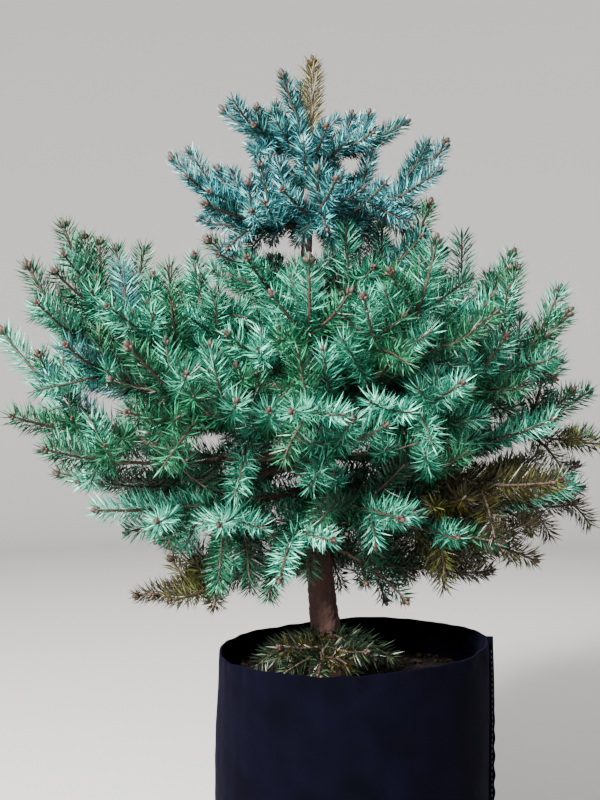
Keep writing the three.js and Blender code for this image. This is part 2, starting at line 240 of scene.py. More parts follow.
def tube_piece(name, rings, ends=None, smooth=True):
    """A piece of closed tubes. rings holds the points as [tube, ring, column, xyz], and ends the two end
    points of each tube, which are otherwise the middles of its first and last ring."""
    tubes, count, columns, _ = rings.shape
    if ends is None:
        ends = np.stack([rings[:, 0].mean(axis=1), rings[:, -1].mean(axis=1)], axis=1)
    points = np.concatenate([rings.reshape(tubes, -1, 3), ends], axis=1).reshape(-1, 3)
    return mesh_piece(name, points, *tube_faces(tubes, count, columns), smooth=smooth)


RIM_CUT = (0.45, 30, 8)  # the small waves of the cut edge: height, length and seed
bag_around = once_round(300)
rim_circle = round_points(BAG["radius"], bag_around, 0)
rim = rim_height(bag_around) + RIM_CUT[0] * ripple(rim_circle, *RIM_CUT[1:])
underside_radii = np.array([20, 60, 100, 128])[:, None]
side_steps = np.concatenate([[0, 0.006, 0.014, 0.024, 0.036], np.linspace(0.05, 1, 100)])[:, None]
inner_steps = np.linspace(1, 0.8, 24)[:, None]
lip_turn = np.radians([30, 60, 90, 120, 150])[:, None]
lip = BAG["wall"] / 2
underside = round_points(underside_radii, bag_around, 0)
outer = bag_skin(0, side_steps * (rim - lip), bag_around)
inner = bag_skin(BAG["wall"], inner_steps * (rim - lip), bag_around)
lip_rings = (outer[-1] + inner[0]) / 2 + (outer[-1] - inner[0]) / 2 * np.cos(lip_turn)[..., None]
lip_rings[..., 2] += lip * np.sin(lip_turn)
well_heights = np.array([200.0, 100.0, 12.0, 3.0])[:, None]
well = bag_skin(BAG["wall"], well_heights, bag_around)
well[-1, :, :2] *= 0.985
bag_rings = np.concatenate([underside, outer, lip_rings, inner, well])[None]
bag = tube_piece("felt_bag", bag_rings, np.array([[[0, 0, 0], [0, 0, BAG["wall"]]]]))


def node_of(material, kind, settings=(), **inputs):
    """A new node of a material's. Its settings are set first; then each input is given a value, or joined to
    another node's output."""
    tree = material.node_tree
    node = tree.nodes.new("ShaderNode" + kind)
    for label, value in dict(settings).items():
        setattr(node, label, value)
    for label, value in inputs.items():
        socket = node.inputs[label.replace("_", " ")]
        if isinstance(value, bpy.types.NodeSocket):
            tree.links.new(value, socket)
        else:
            socket.default_value = value
    return node


def pattern_of(material, kind, **inputs):
    """The outputs of a texture node that reads the piece's Object coordinates."""
    place = node_of(material, "TexCoord")
    return node_of(material, "Tex" + kind, Vector=place.outputs["Object"], **inputs).outputs


def shades_of(material, level, low, high, start=0, end=1):
    """A ramp of two colours, low where a pattern's level is at start or less, and high from end upwards."""
    ramp = node_of(material, "ValToRGB", Fac=level)
    for element, position, color in zip(ramp.color_ramp.elements, (start, end), (low, high)):
        element.position = position
        element.color = (*color, 1)
    return ramp.outputs["Color"]


def finish_with(material, color=None, bump=None):
    """Gives a material's shader a colour and the normal of a bump node, either of which may be left out."""
    shader = material.node_tree.nodes["Principled BSDF"]
    if color:
        material.node_tree.links.new(color, shader.inputs["Base Color"])
    if bump:
        material.node_tree.links.new(bump.outputs["Normal"], shader.inputs["Normal"])


felt = new_material("black_felt", (0.0026, 0.0024, 0.0072), 0.9, 0.03)
felt_shader = felt.node_tree.nodes["Principled BSDF"]
felt_shader.inputs["Sheen Weight"].default_value = 0.02
felt_shader.inputs["Sheen Roughness"].default_value = 0.45
felt_shader.inputs["Sheen Tint"].default_value = (0.3, 0.22, 0.7, 1)
mottle = pattern_of(felt, "Noise", Scale=26, Detail=5)
fibres = pattern_of(felt, "Noise", Scale=900, Detail=4, Distortion=1.5)
finish_with(
    felt,
    shades_of(felt, mottle["Fac"], (0.0003, 0.00036, 0.0017), (0.00084, 0.00084, 0.004), 0.35, 0.7),
    node_of(felt, "Bump", Height=fibres["Fac"], Strength=0.5, Distance=0.0008),
)
bag.data.materials.append(felt)
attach(bag, "root")
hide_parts("grow_bag")

# ---- Seam ----
# The felt's two edges are laid together, sewn through and left standing out of the side as a flat flap. Its
# cut edge is straight near the rim, ends there in a small ear, and puckers lower down between the stitches.

SEAM_REACH = 7
SEAM_THICKNESS = 3.2
SEAM_ROOT = 1.5  # how far the flap goes into the bag's side
EAR = 4
FLAP_RINGS = 190


def on_seam(z, out, across):
    """A point of the flap from its height, its distance out of the side and its distance across the flap."""
    r = bag_radius(np.minimum(z, BAG["height"])) + bag_fold(SEAM_BEARING, z) + out
    x = r * math.cos(SEAM_BEARING) - across * math.sin(SEAM_BEARING)
    y = r * math.sin(SEAM_BEARING) + across * math.cos(SEAM_BEARING)
    return np.stack([x, y, z * np.ones_like(r)], axis=-1)


PUCKERS_BELOW = 230


def flap_wave(z):
    """How far the flap's edge sways across: one long sine, and a short one that grows below the rim."""
    growing = 0.5 + 1.6 * np.clip((PUCKERS_BELOW - z) / 120, 0, 1)
    return growing * np.sin(z / 8.5) + 1.2 * np.sin(z / 31)


def squarish(wave):
    """A sine or cosine swelled by the power 0.6, which makes the round it draws squarer."""
    return np.sign(wave) * np.abs(wave) ** 0.6


flap_heights = np.linspace(BAG["turn"], float(rim_height(SEAM_BEARING)) + EAR, FLAP_RINGS)[:, None]
flap_turn = once_round(20)
pucker = np.clip((PUCKERS_BELOW + 5 - flap_heights) / 60, 0, 1) * 1.5 * np.sin(flap_heights / 6.3) ** 2
flap_out = (SEAM_REACH + pucker) / 2 * (1 + squarish(np.cos(flap_turn))) - SEAM_ROOT
flap_across = SEAM_THICKNESS / 2 * squarish(np.sin(flap_turn))
flap_across = flap_across + flap_wave(flap_heights) * np.clip(flap_out / SEAM_REACH, 0, 1)
flap = tube_piece("seam_flap", on_seam(flap_heights, flap_out, flap_across)[None])
flap.data.materials.append(felt)
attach(flap, "root")

STITCH_PITCH = 6
STITCH_LENGTH = 4.4
STITCH_RADIUS = 0.45
STITCH_ARCH = 0.35  # how far the middle of a stitch stands off the felt
STITCH_LINE = 0.45  # share of the flap's reach at which it is sewn through
stitch_steps = np.arange(BAG["turn"] + 8, BAG["height"] - 2, STITCH_PITCH)
stitch_along = np.linspace(-1, 1, 7)[:, None]
stitch_turn = once_round(6)
stitch_z = stitch_steps[:, None, None] + stitch_along * STITCH_LENGTH / 2 + 0 * stitch_turn
stitch_girth = STITCH_RADIUS * np.sqrt(np.clip(1.04 - stitch_along**2, 0, 1))
stitch_rings = []
for face in (-1, 1):
    stitch_out = STITCH_LINE * SEAM_REACH + stitch_girth * np.cos(stitch_turn) + 0 * stitch_z
    arch = SEAM_THICKNESS / 2 * 0.92 + STITCH_ARCH * (1 - stitch_along**2)
    stitch_across = face * (arch + stitch_girth * np.sin(stitch_turn)) + 0.5 * flap_wave(stitch_z)
    stitch_rings.append(on_seam(stitch_z, stitch_out, stitch_across)[:, :, :: face])
stitches = tube_piece("seam_stitches", np.concatenate(stitch_rings))
thread = new_material("grey_thread", (0.05, 0.05, 0.065), 0.7)
twist = pattern_of(thread, "Wave", Scale=900)
finish_with(thread, bump=node_of(thread, "Bump", Height=twist["Fac"], Strength=0.4, Distance=0.0003))
stitches.data.materials.append(thread)
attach(stitches, "root")

# ---- Compost ----
# Dark damp peat, crumbled and a little sunk round its edge, with loose crumbs and fallen bark chips on top.
# It is closed below, where it fills the bag.

COMPOST_GAP = BAG["wall"] + 1  # from the outside of the felt
COMPOST_FOOT = 3.6

# Lumps of the peat: height, width and seed.
LUMPS = ((1.5, 42, 21), (0.9, 17, 22), (0.7, 7, 23), (0.45, 3.4, 24))
EDGE_BAND = 0.06  # share of the radius over which the lumps fade out at the felt

compost_around = once_round(220)
top_steps = np.linspace(0.01, 1, 110)[:, None]
edge = bag_skin(COMPOST_GAP, np.array([[float(SOIL_TOP)]]), compost_around)[0]
top_rings = edge * top_steps[..., None]
top_rings[..., 2] = SOIL_TOP
crumble = sum(height * ripple(top_rings, width, seed) for height, width, seed in LUMPS)
fade = np.clip((1 - top_steps) / EDGE_BAND, 0, 1)
top_rings[..., 2] += (crumble - 1.2) * fade - 1.5 * (1 - fade) - 1.5 * top_steps**6
deep_heights = np.array([180.0, 90.0, 14.0, COMPOST_FOOT])[:, None]
deep = bag_skin(COMPOST_GAP, deep_heights, compost_around)
compost_rings = np.concatenate([top_rings, deep])[None, ::-1]
compost = tube_piece("compost", compost_rings, np.array([[[0, 0, COMPOST_FOOT], [0, 0, SOIL_TOP - 1]]]))
peat = new_material("damp_peat", (0.012, 0.009, 0.007), 0.95, 0.08)
clods = pattern_of(peat, "Noise", Scale=160, Detail=8)
finish_with(
    peat,
    shades_of(peat, clods["Fac"], (0.00096, 0.00066, 0.00072), (0.0066, 0.0042, 0.0036), 0.4, 0.72),
    node_of(peat, "Bump", Height=clods["Fac"], Strength=0.7, Distance=0.0015),
)
compost.data.materials.append(peat)
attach(compost, "root")
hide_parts("soil")

CRUMBS = 420
CRUMB_SPREAD = 138
crumb_random = np.random.default_rng(5)
crumb_r = CRUMB_SPREAD * np.sqrt(crumb_random.uniform(0.02, 1, CRUMBS))
crumb_a = crumb_random.uniform(0, 2 * math.pi, CRUMBS)
crumb_size = crumb_random.uniform(1.2, 3.6, CRUMBS)
crumb_lat = np.radians([-50, 0, 50])[:, None]
crumb_unit = round_points(np.cos(crumb_lat), once_round(6), np.sin(crumb_lat))
crumb_lumps = 1 + crumb_random.uniform(-0.25, 0.25, (CRUMBS, 3, 6, 1))
crumb_stretch = crumb_random.uniform([0.7, 0.7, 0.4], [1.5, 1.2, 0.7], (CRUMBS, 3))[:, None, None]
crumb_place = round_points(crumb_r, crumb_a, SOIL_TOP)
crumb_rings = crumb_unit * crumb_lumps * crumb_stretch * crumb_size[:, None, None, None]
crumbs = tube_piece("compost_crumbs", crumb_rings + crumb_place[:, None, None], smooth=False)
chips = new_material("bark_chips", (0.03, 0.018, 0.011), 0.9, 0.08)
spread = pattern_of(chips, "Noise", Scale=70)
chip_shades = shades_of(chips, spread["Fac"], (0.0018, 0.0012, 0.0012), (0.016, 0.009, 0.0066), 0, 0.8)
finish_with(chips, chip_shades)
crumbs.data.materials.append(chips)
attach(crumbs, "root")

# ---- Growth ----
# The spruce grows by one rule: every axis is an arc that turns up towards its tip, and at the end of each
# year's growth it forks to the right, to the left and above. Its shoots keep out of each other's way.

LEADER_TIP = 930
LEADER_FOOT = 868
TRUNK = {"foot_x": -24, "lean": -17, "bow": -17, "sway": 6, "radius": 15.5, "top_radius": 2.6, "flare": 7}
FLARE_HEIGHT = 18

# Each bough: height on the trunk, bearing, length, rise at the trunk, rise at the tip and years of growth.
WHORLS = {
    "top": {
        "steep": (836, 214, 76, 54, 70, 1),
        "left": (822, 180, 106, 12, 44, 2),
        "back_right": (828, 32, 84, 18, 44, 1),
        "right": (820, 350, 110, 6, 30, 2),
        "front": (814, 282, 82, 0, 30, 1),
        "back": (826, 100, 98, 10, 45, 2),
    },
    "second": {
        "left": (752, 184, 164, -2, 50, 2),
        "right": (750, 352, 176, -2, 58, 2),
        "front": (746, 284, 118, 0, 28, 2),
        "front_left": (744, 218, 132, -6, 16, 2),
        "back_right": (750, 62, 145, 0, 40, 2),
        "back_left": (754, 124, 145, 0, 42, 2),
    },
    "third": {
        "left": (690, 180, 114, 2, 38, 2),
        "right": (668, 342, 178, -4, 72, 2),
        "back_right": (650, 28, 205, -4, 50, 3),
        "back": (662, 110, 190, -2, 42, 3),
        "front_left": (655, 246, 150, 0, 30, 2),
    },
    "main": {
        "left": (572, 180, 346, -6, 72, 4),
        "front_left": (535, 200, 362, -8, 62, 4),
        "far_left": (500, 188, 376, -14, 56, 4),
        "right": (572, 8, 292, -2, 66, 4),
        "front_right": (532, 346, 312, -6, 50, 4),
        "far_right": (498, 2, 324, -10, 34, 4),
        "front": (556, 270, 236, 0, 72, 3),
        "front_upright": (548, 304, 288, -4, 76, 4),
        "front_left_low": (520, 232, 290, -6, 40, 4),
        "front_low": (500, 280, 215, -6, 26, 3),
        "back_right": (560, 48, 320, -4, 54, 4),
        "back": (535, 92, 330, -4, 50, 4),
        "back_left": (555, 135, 320, -4, 52, 4),
    },
    "lower": {
        "right": (452, 14, 326, -14, 14, 4),
        "back_right": (450, 66, 290, -12, 10, 3),
        "back": (455, 118, 290, -12, 10, 3),
        "left": (486, 168, 300, -14, 8, 4),
        "front_left": (458, 210, 250, -10, 4, 3),
        "front": (436, 256, 160, 0, -42, 2),
        "front_right": (450, 296, 186, -2, -4, 3),
        "near_right": (440, 332, 214, -10, -6, 3),
    },
    "bottom": {
        "left": (398, 164, 226, -28, -8, 3),
        "front": (400, 320, 130, -8, -40, 2),
        "right": (396, 30, 240, -18, -6, 3),
        "back": (390, 100, 200, -20, -8, 3),
    },
    "foot": {"spray": (290, 264, 108, 8, -24, 3)},
}
WHORL_WITH_LIMBS = "main"
LIMB_SHARE = 0.2
SAMPLE_STEP = 8


def chance(key):
    """A number from 0 to 1, always the same for the same key: what a large sine has behind its point."""
    large = np.sin(key * 12.9898 + 4.1) * 43758.5453
    return large - np.floor(large)


def swing(key, most):
    """A number from -most to most that is always the same for the same key."""
    return (2 * chance(key) - 1) * most


def heading(bearing, rise):
    """Unit vectors from a bearing and rises in degrees: cos(rise) along the bearing, sin(rise) upwards."""
    level = np.cos(np.radians(rise))
    turn = math.radians(bearing)
    return np.stack([level * math.cos(turn), level * math.sin(turn), np.sin(np.radians(rise))], axis=-1)


def trunk_at(z):
    """Middle of the trunk at a height: a lean, a bow of half a sine, and a sway of one sine to and fro."""
    z = np.asarray(z, dtype=float)
    up = (z - SOIL_TOP) / (LEADER_TIP - SOIL_TOP)
    x = TRUNK["foot_x"] + TRUNK["lean"] * up + TRUNK["bow"] * np.sin(np.pi * up)
    return np.stack([x, TRUNK["sway"] * np.sin(2 * np.pi * up), z], axis=-1)


def trunk_radius(z):
    """Radius of the trunk at a height: an even taper, and a root flare that fades upwards."""
    up = (z - SOIL_TOP) / (LEADER_FOOT - SOIL_TOP)
    flare = TRUNK["flare"] * np.exp(-(z - SOIL_TOP) / FLARE_HEIGHT)
    return TRUNK["radius"] + (TRUNK["top_radius"] - TRUNK["radius"]) * up + flare


class Axis:
    """One axis of growth: an arc in an upright plane, whose rise turns evenly from its start to its tip."""

    def __init__(self, start, bearing, length, rise, tip_rise, years, bare=0.0):
        self.start = start
        self.bearing = bearing
        self.length = length
        self.rise = rise
        self.tip_rise = tip_rise
        self.years = years
        self.bare = bare
        self.side = heading(bearing - 90, 0)

    def rise_at(self, t):
        """Rise at shares t of the length, in degrees."""
        return self.rise + (self.tip_rise - self.rise) * np.asarray(t, dtype=float)

    def tangent(self, t):
        """Unit vectors along the axis at shares t of its length."""
        return heading(self.bearing, self.rise_at(t))

    def above(self, t):
        """Unit vectors square to the axis in its upright plane."""
        return np.cross(self.side, self.tangent(t))

    def point(self, t):
        """Points of the arc: radius times the change of the rise's sine outwards, of its cosine upwards."""
        now = np.radians(self.rise_at(t))
        start = math.radians(self.rise)
        radius = self.length / math.radians(self.tip_rise - self.rise)
        out = (radius * (np.sin(now) - math.sin(start)))[..., None] * heading(self.bearing, 0)
        up = (radius * (math.cos(start) - np.cos(now)))[..., None] * np.array([0, 0, 1])
        return self.start + out + up

    def samples(self, start=0.0):
        """Points from a share of the length to the tip, about SAMPLE_STEP apart."""
        count = max(2, math.ceil(self.length * (1 - start) / SAMPLE_STEP))
        return self.point(np.linspace(start, 1, count + 1))


# How far chance moves a fork: its turn off the parent, its roll round it and its tip's rise, in degrees, and
# its length as a share of the parent's.
FORK_SWING = {"turn": 9, "roll": 18, "tip": 10, "length": 0.12}
LOWEST_TIP = -84
HIGHEST_TIP = 85
LEAST_UPTURN = 3


def forks(axis, key, t, turn_angle, middle_roll, share, years, upturn=18):
    """The shoot that forks off an axis at a share t of its length, turned off it by an angle, to the side
    that the roll says, and turning up towards its tip, or down where the upturn is less than nothing."""
    turn = math.radians(turn_angle + swing(key, FORK_SWING["turn"]))
    roll = math.radians(middle_roll + swing(key + 0.3, FORK_SWING["roll"]))
    way = axis.tangent(t) * math.cos(turn) + axis.side * math.cos(roll) * math.sin(turn)
    way = way + axis.above(t) * math.sin(roll) * math.sin(turn)
    bearing = math.degrees(math.atan2(way[1], way[0]))
    rise = math.degrees(math.asin(way[2]))
    tip_rise = rise + upturn + swing(key + 0.8, FORK_SWING["tip"])
    tip_rise = max(min(tip_rise, max(rise + LEAST_UPTURN, HIGHEST_TIP)), LOWEST_TIP)
    length = axis.length * (1 - t) * (share + swing(key + 0.6, FORK_SWING["length"]))
    return Axis(axis.point(t), bearing, length, rise, tip_rise, years)


YEAR_FORK_ANGLE = 48
YEAR_FORKS = ((-8, 0.78), (188, 0.78), (90, 0.55))  # roll round the parent, and share of what is left of it


def year_forks(axis, seed, first_share, shortest):
    """The shoots that fork off right, left and above at the end of each year's growth."""
    found = []
    for year in range(1, axis.years):
        t = year / axis.years
        for place, (roll, share) in enumerate(YEAR_FORKS):
            key = seed * 31 + year * 7 + place
            fork = forks(axis, key, t, YEAR_FORK_ANGLE, roll, share, axis.years - year)
            if t > first_share and fork.length > shortest:
                found.append(fork)
    return found


def line_distance(points, starts, ends):
    """Distance from each point to the nearest of a set of straight stretches."""
    along = ends - starts
    squared = np.maximum((along**2).sum(axis=-1), 1e-9)
    share = np.clip(((points[:, None] - starts) * along).sum(axis=-1) / squared, 0, 1)
    nearest = starts + share[..., None] * along
    return np.sqrt(((points[:, None] - nearest) ** 2).sum(axis=-1).min(axis=1))


# The boughs, each an axis from the middle of the trunk, and last the leader.
boughs = []
for whorl, members in WHORLS.items():
    for place, (height, bearing, length, rise, tip_rise, years) in members.items():
        bare = LIMB_SHARE if whorl == WHORL_WITH_LIMBS else 0.0
        axis = Axis(trunk_at(height), bearing, length, rise, tip_rise, years, bare)
        boughs.append({"name": f"{whorl}_{place}", "whorl": whorl, "place": place, "axis": axis})
LEADER = {"bearing": 60, "length": 55.3, "rise": 86, "tip_rise": 89.9, "years": 1}
leader_axis = Axis(trunk_at(LEADER_FOOT + 0.3), **LEADER)
boughs.append({"name": "leader", "whorl": "leader", "place": "leader", "axis": leader_axis})

trunk_line = trunk_at(np.linspace(SOIL_TOP, LEADER_FOOT, 80))
limb_axes = [bough["axis"] for bough in boughs if bough["axis"].bare]


LIMB_TAPER = 0.012


def limb_radius(axis):
    """Radius of a bough where it leaves the trunk: a share of its length, and a millimetre."""
    return LIMB_TAPER * axis.length + 1


def clear_of_limbs(points):
    """How far points lie outside the trunk and the bare limbs."""
    clear = line_distance(points, trunk_line[:-1], trunk_line[1:])
    clear = clear - trunk_radius(np.maximum(points[:, 2], SOIL_TOP))
    for axis in limb_axes:
        limb_samples = max(2, math.ceil(axis.length * LIMB_SHARE / SAMPLE_STEP))
        limb_line = axis.point(np.linspace(0, LIMB_SHARE, limb_samples + 1))
        clear = np.minimum(clear, line_distance(points, limb_line[:-1], limb_line[1:]) - limb_radius(axis))
    return clear


stretch_starts = []
stretch_ends = []
stretch_owner = []


def take_room(owner, line):
    """Notes the stretches of a shoot's line, so that later shoots keep clear of them."""
    stretch_starts.append(line[:-1])
    stretch_ends.append(line[1:])
    stretch_owner.append(np.full(len(line) - 1, owner))


# Where the keys of each kind of shoot begin, so that each shoot draws its own chances.
KEYS = {
    "side": 1000,
    "strong": 2900,
    "half_year": 3000,
    "finer": 9000,
    "trunk": 50000,
    "foot": 60000,
    "between": 70000,
}

# How far the outer part of each kind of shoot keeps from the rest.
CLEARANCE = {
    "side": 21,
    "strong": 3.5,
    "half_year": 17,
    "half_year_small": 11,
    "finer": 13,
    "trunk": 9,
    "foot": 4,
    "between": 13,
}
LIMB_CLEARANCE = {"side": 9, "fine": 6}
INNER_PART = 3  # samples of a shoot that may lie in its parent's room
BOUGH_START = 0.12  # where a bough without a bare limb begins to take room
SHORTEST_SIDE_SHOOT = 45

# First the boughs take their room, then the side shoots that each bough's needles have in the solids. A
# bough is level 0, a side shoot 1, and later ones 1.5 or more: the finer the shoot, the higher its level.
shoots = []
for owner, bough in enumerate(boughs):
    first = 0.0 if bough["name"] == "leader" else bough["axis"].bare or BOUGH_START
    take_room(owner, bough["axis"].samples(first))
    shoots.append({"axis": bough["axis"], "owner": owner, "level": 0, "key": owner + 1})
for owner, bough in enumerate(boughs):
    for number, fork in enumerate(year_forks(bough["axis"], owner + 1, LIMB_SHARE, SHORTEST_SIDE_SHOOT)):
        line = fork.samples()
        outer_part = line[INNER_PART:]
        others = np.concatenate(stretch_owner) != owner
        starts = np.concatenate(stretch_starts)[others]
        ends = np.concatenate(stretch_ends)[others]
        if len(outer_part) == 0 or (
            line_distance(outer_part, starts, ends).min() > CLEARANCE["side"]
            and clear_of_limbs(outer_part).min() > LIMB_CLEARANCE["side"]
        ):
            take_room(owner, line)
            key = KEYS["side"] + owner * 40 + number
            shoots.append({"axis": fork, "owner": owner, "level": 1, "key": key})

# Finer growth, wherever there is still room for its needles: side shoots that outgrew the rest, more shoots
# out of each year's fork and halfway between them, the side shoots' own forks, short shoots that break from
# the trunk itself, a fan of shoots at its foot, and last the twigs that stand between the forks.
GOLDEN_ANGLE = math.radians(137.508)
SHORTEST_TWIG = 32
LOWEST_TWIG = {"foot": SOIL_TOP + 14}
LOWEST_OTHER_TWIG = 337
UPTURN = {"lower": -26, "bottom": -2, "foot": -34, "main": 10}
OTHER_UPTURN = 15
UPTURN_ABOVE = 24
SMALL_WHORLS = ("top", "second")

# Side shoots that outgrew the rest: the bough, the share of its length that they stand at, their bearing,
# rise and length, and how far they turn up.
STRONG_SHOOTS = (
    ("main_left", 0.75, 180, 70, 66, 10),
    ("main_left", 0.57, 182, 66, 98, 18),
    ("main_left", 0.4, 182, 62, 100, 18),
    ("main_front_right", 0.62, 352, 66, 130, 14),
    ("main_front_right", 0.8, 350, 54, 78, 16),
    ("main_far_right", 0.76, 0, 68, 98, 16),
    ("main_far_right", 0.72, 340, -14, 92, 10),
    ("lower_right", 0.8, 0, 32, 66, 10),
    ("lower_near_right", 0.75, 345, -10, 90, -12),
    ("lower_front_left", 0.55, 200, -24, 80, 14),
    ("bottom_front", 0.65, 330, -64, 40, -10),
    ("third_right", 0.15, 342, 62, 56, 5),
    ("third_back_right", 0.25, 28, 56, 60, 10),
    ("second_left", 0.6, 184, 52, 60, 8),
    ("second_right", 0.55, 352, 50, 66, 12),
    ("second_right", 0.4, 350, -28, 48, -10),
    ("second_front", 0.25, 350, -42, 38, -10),
)

# Where the crown stays open right through, as seen from in front: place across, height and half width.
OPENINGS = (
    (-252, 546, 27),
    (-240, 528, 16),
    (-161, 499, 19),
    (-74, 457, 22),
    (176, 505, 15),
    (141, 494, 13),
    (157, 456, 10),
    (-68, 716, 11),
    (-96, 720, 11),
    (-50, 724, 11),
    (-51, 706, 11),
    (-146, 830, 20),
    (-121, 820, 13),
    (53, 832, 20),
    (46, 800, 12),
    (-8, 893, 18),
    (104, 757, 14),
    (-182, 748, 14),
    (2, 812, 14),
    (-30, 890, 13),
    (23, 714, 9),
    (-236, 470, 24),
    (-354, 487, 24),
    (-310, 424, 36),
    (-374, 538, 22),
    (-164, 398, 10),
    (-194, 376, 12),
    (-217, 379, 20),
    (7, 371, 16),
    (115, 360, 12),
)


def clear_of_openings(points):
    """How far points lie outside the openings, which run straight back from the eye."""
    eye = np.array(EYE) / MM
    clear = np.full(len(points), np.inf)
    for across, height, half_width in OPENINGS:
        sight = np.array([across, 0, height]) - eye
        away = np.linalg.norm(np.cross(points - eye, sight / np.linalg.norm(sight)), axis=1)
        clear = np.minimum(clear, away - half_width)
    return clear


CUT_BACK = (1, 0.8, 0.62, 0.48)  # the shares of its length that a shoot is tried at
REACH_OF_OTHERS = 40  # how far beyond its own length a shoot looks for others in its way


def grow_if_clear(owner, fork, level, key, clearance):
    """Keeps a shoot if its outer part is clear of every other shoot, cut shorter where that helps."""
    starts = np.concatenate(stretch_starts)
    ends = np.concatenate(stretch_ends)
    near = np.linalg.norm(starts - fork.start, axis=1) < fork.length + REACH_OF_OTHERS
    for share in CUT_BACK:
        length = fork.length * share
        if length < SHORTEST_TWIG:
            return
        tip_rise = fork.rise + (fork.tip_rise - fork.rise) * share
        shorter = Axis(fork.start, fork.bearing, length, fork.rise, tip_rise, fork.years)
        line = shorter.samples()
        outer_part = line[INNER_PART:]
        if (
            line_distance(outer_part, starts[near], ends[near]).min() > clearance
            and clear_of_limbs(outer_part).min() > LIMB_CLEARANCE["fine"]
            and line[:, 2].min() > LOWEST_TWIG.get(boughs[owner]["whorl"], LOWEST_OTHER_TWIG)
            and clear_of_openings(line).min() > 0
        ):
            take_room(owner, line)
            shoots.append({"axis": shorter, "owner": owner, "level": level, "key": key})
            return


def upturn_of(owner, roll):
    """How far a fine shoot turns up towards its tip, in degrees: less below its bough than above it, by a
    sine of the roll, and less on the lowest boughs, where it hangs."""
    own = UPTURN.get(boughs[owner]["whorl"], OTHER_UPTURN)
    return own + UPTURN_ABOVE * math.sin(math.radians(roll))


bough_names = [bough["name"] for bough in boughs]
for number, (name, t, bearing, rise, length, upturn) in enumerate(STRONG_SHOOTS):
    owner = bough_names.index(name)
    strong = Axis(boughs[owner]["axis"].point(t), bearing, length, rise, rise + upturn, 2)
    grow_if_clear(owner, strong, 1.5, KEYS["strong"] + number, CLEARANCE["strong"])

# Shoots at each year's fork and halfway to the next: their angle off the bough, and their rolls round it.
HALF_YEAR_ANGLE = 44
ROLLS_AT_FORK = (48, 132, 270)
ROLLS_HALFWAY = (4, 176, 88)
for owner, bough in enumerate(boughs[:-1]):
    axis = bough["axis"]
    small = bough["whorl"] in SMALL_WHORLS
    share = 0.72 if small else 0.55
    clearance = CLEARANCE["half_year_small" if small else "half_year"]
    for half_year in range(1, 2 * axis.years - 1):
        t = half_year / 2 / axis.years
        years = max(1, math.ceil(axis.years - half_year / 2))
        for place, roll in enumerate(ROLLS_HALFWAY if half_year % 2 else ROLLS_AT_FORK):
            key = KEYS["half_year"] + owner * 60 + half_year * 5 + place
            fork = forks(axis, key, t, HALF_YEAR_ANGLE, roll, share, years, upturn_of(owner, roll))
            if t > max(LIMB_SHARE, axis.bare):
                grow_if_clear(owner, fork, 1.5, key, clearance)

FORKED_FROM = 0.15  # the share of a side shoot from which it forks in its turn
for level in (1, 1.5, 2):
    for number, parent in enumerate([shoot for shoot in shoots if shoot["level"] == level]):
        for place, fork in enumerate(year_forks(parent["axis"], parent["key"], FORKED_FROM, SHORTEST_TWIG)):
            key = KEYS["finer"] * level + number * 12 + place
            grow_if_clear(parent["owner"], fork, level + 1, key, CLEARANCE["finer"])

# The trunk's own shoots stand at the golden angle round it, except on two bare stretches, and reach farther
# the lower they stand.
BARE_TRUNK = ((694, 742), (0, 405))
TRUNK_SHOOTS = {"from": 400.0, "to": LEADER_FOOT - 20, "step": 5.5, "shortest": 40, "rise": 8, "upturn": 20}
trunk_shoot_heights = np.arange(TRUNK_SHOOTS["from"], TRUNK_SHOOTS["to"], TRUNK_SHOOTS["step"])
for number, height in enumerate(trunk_shoot_heights):
    key = KEYS["trunk"] + number
    if any(low < height < high for low, high in BARE_TRUNK):
        continue
    length = TRUNK_SHOOTS["shortest"] + min(50, (LEADER_FOOT - height) / 2) * chance(key + 0.2)
    bearing = math.degrees(number * GOLDEN_ANGLE)
    rise = TRUNK_SHOOTS["rise"] + swing(key + 0.4, 16)
    fork = Axis(trunk_at(height), bearing, length, rise, rise + TRUNK_SHOOTS["upturn"], 2)
    owner = int(np.argmin([abs(bough["axis"].start[2] - height) for bough in boughs]))
    grow_if_clear(owner, fork, 3, key, CLEARANCE["trunk"])

# A fan of drooping shoots in front of the trunk's foot: their bearings, height, length and rises.
FOOT_FAN = {"from": 186, "to": 356, "step": 17, "height": 293, "length": 78, "rise": 6, "tip_rise": -34}
foot_owner = bough_names.index("foot_spray")
for number, bearing in enumerate(range(FOOT_FAN["from"], FOOT_FAN["to"], FOOT_FAN["step"])):
    start = trunk_at(FOOT_FAN["height"] + swing(number, 5))
    length = FOOT_FAN["length"] + swing(number + 0.5, 12)
    droop = Axis(start, bearing, length, FOOT_FAN["rise"], FOOT_FAN["tip_rise"], 1)
    grow_if_clear(foot_owner, droop, 3, KEYS["foot"] + number, CLEARANCE["foot"])

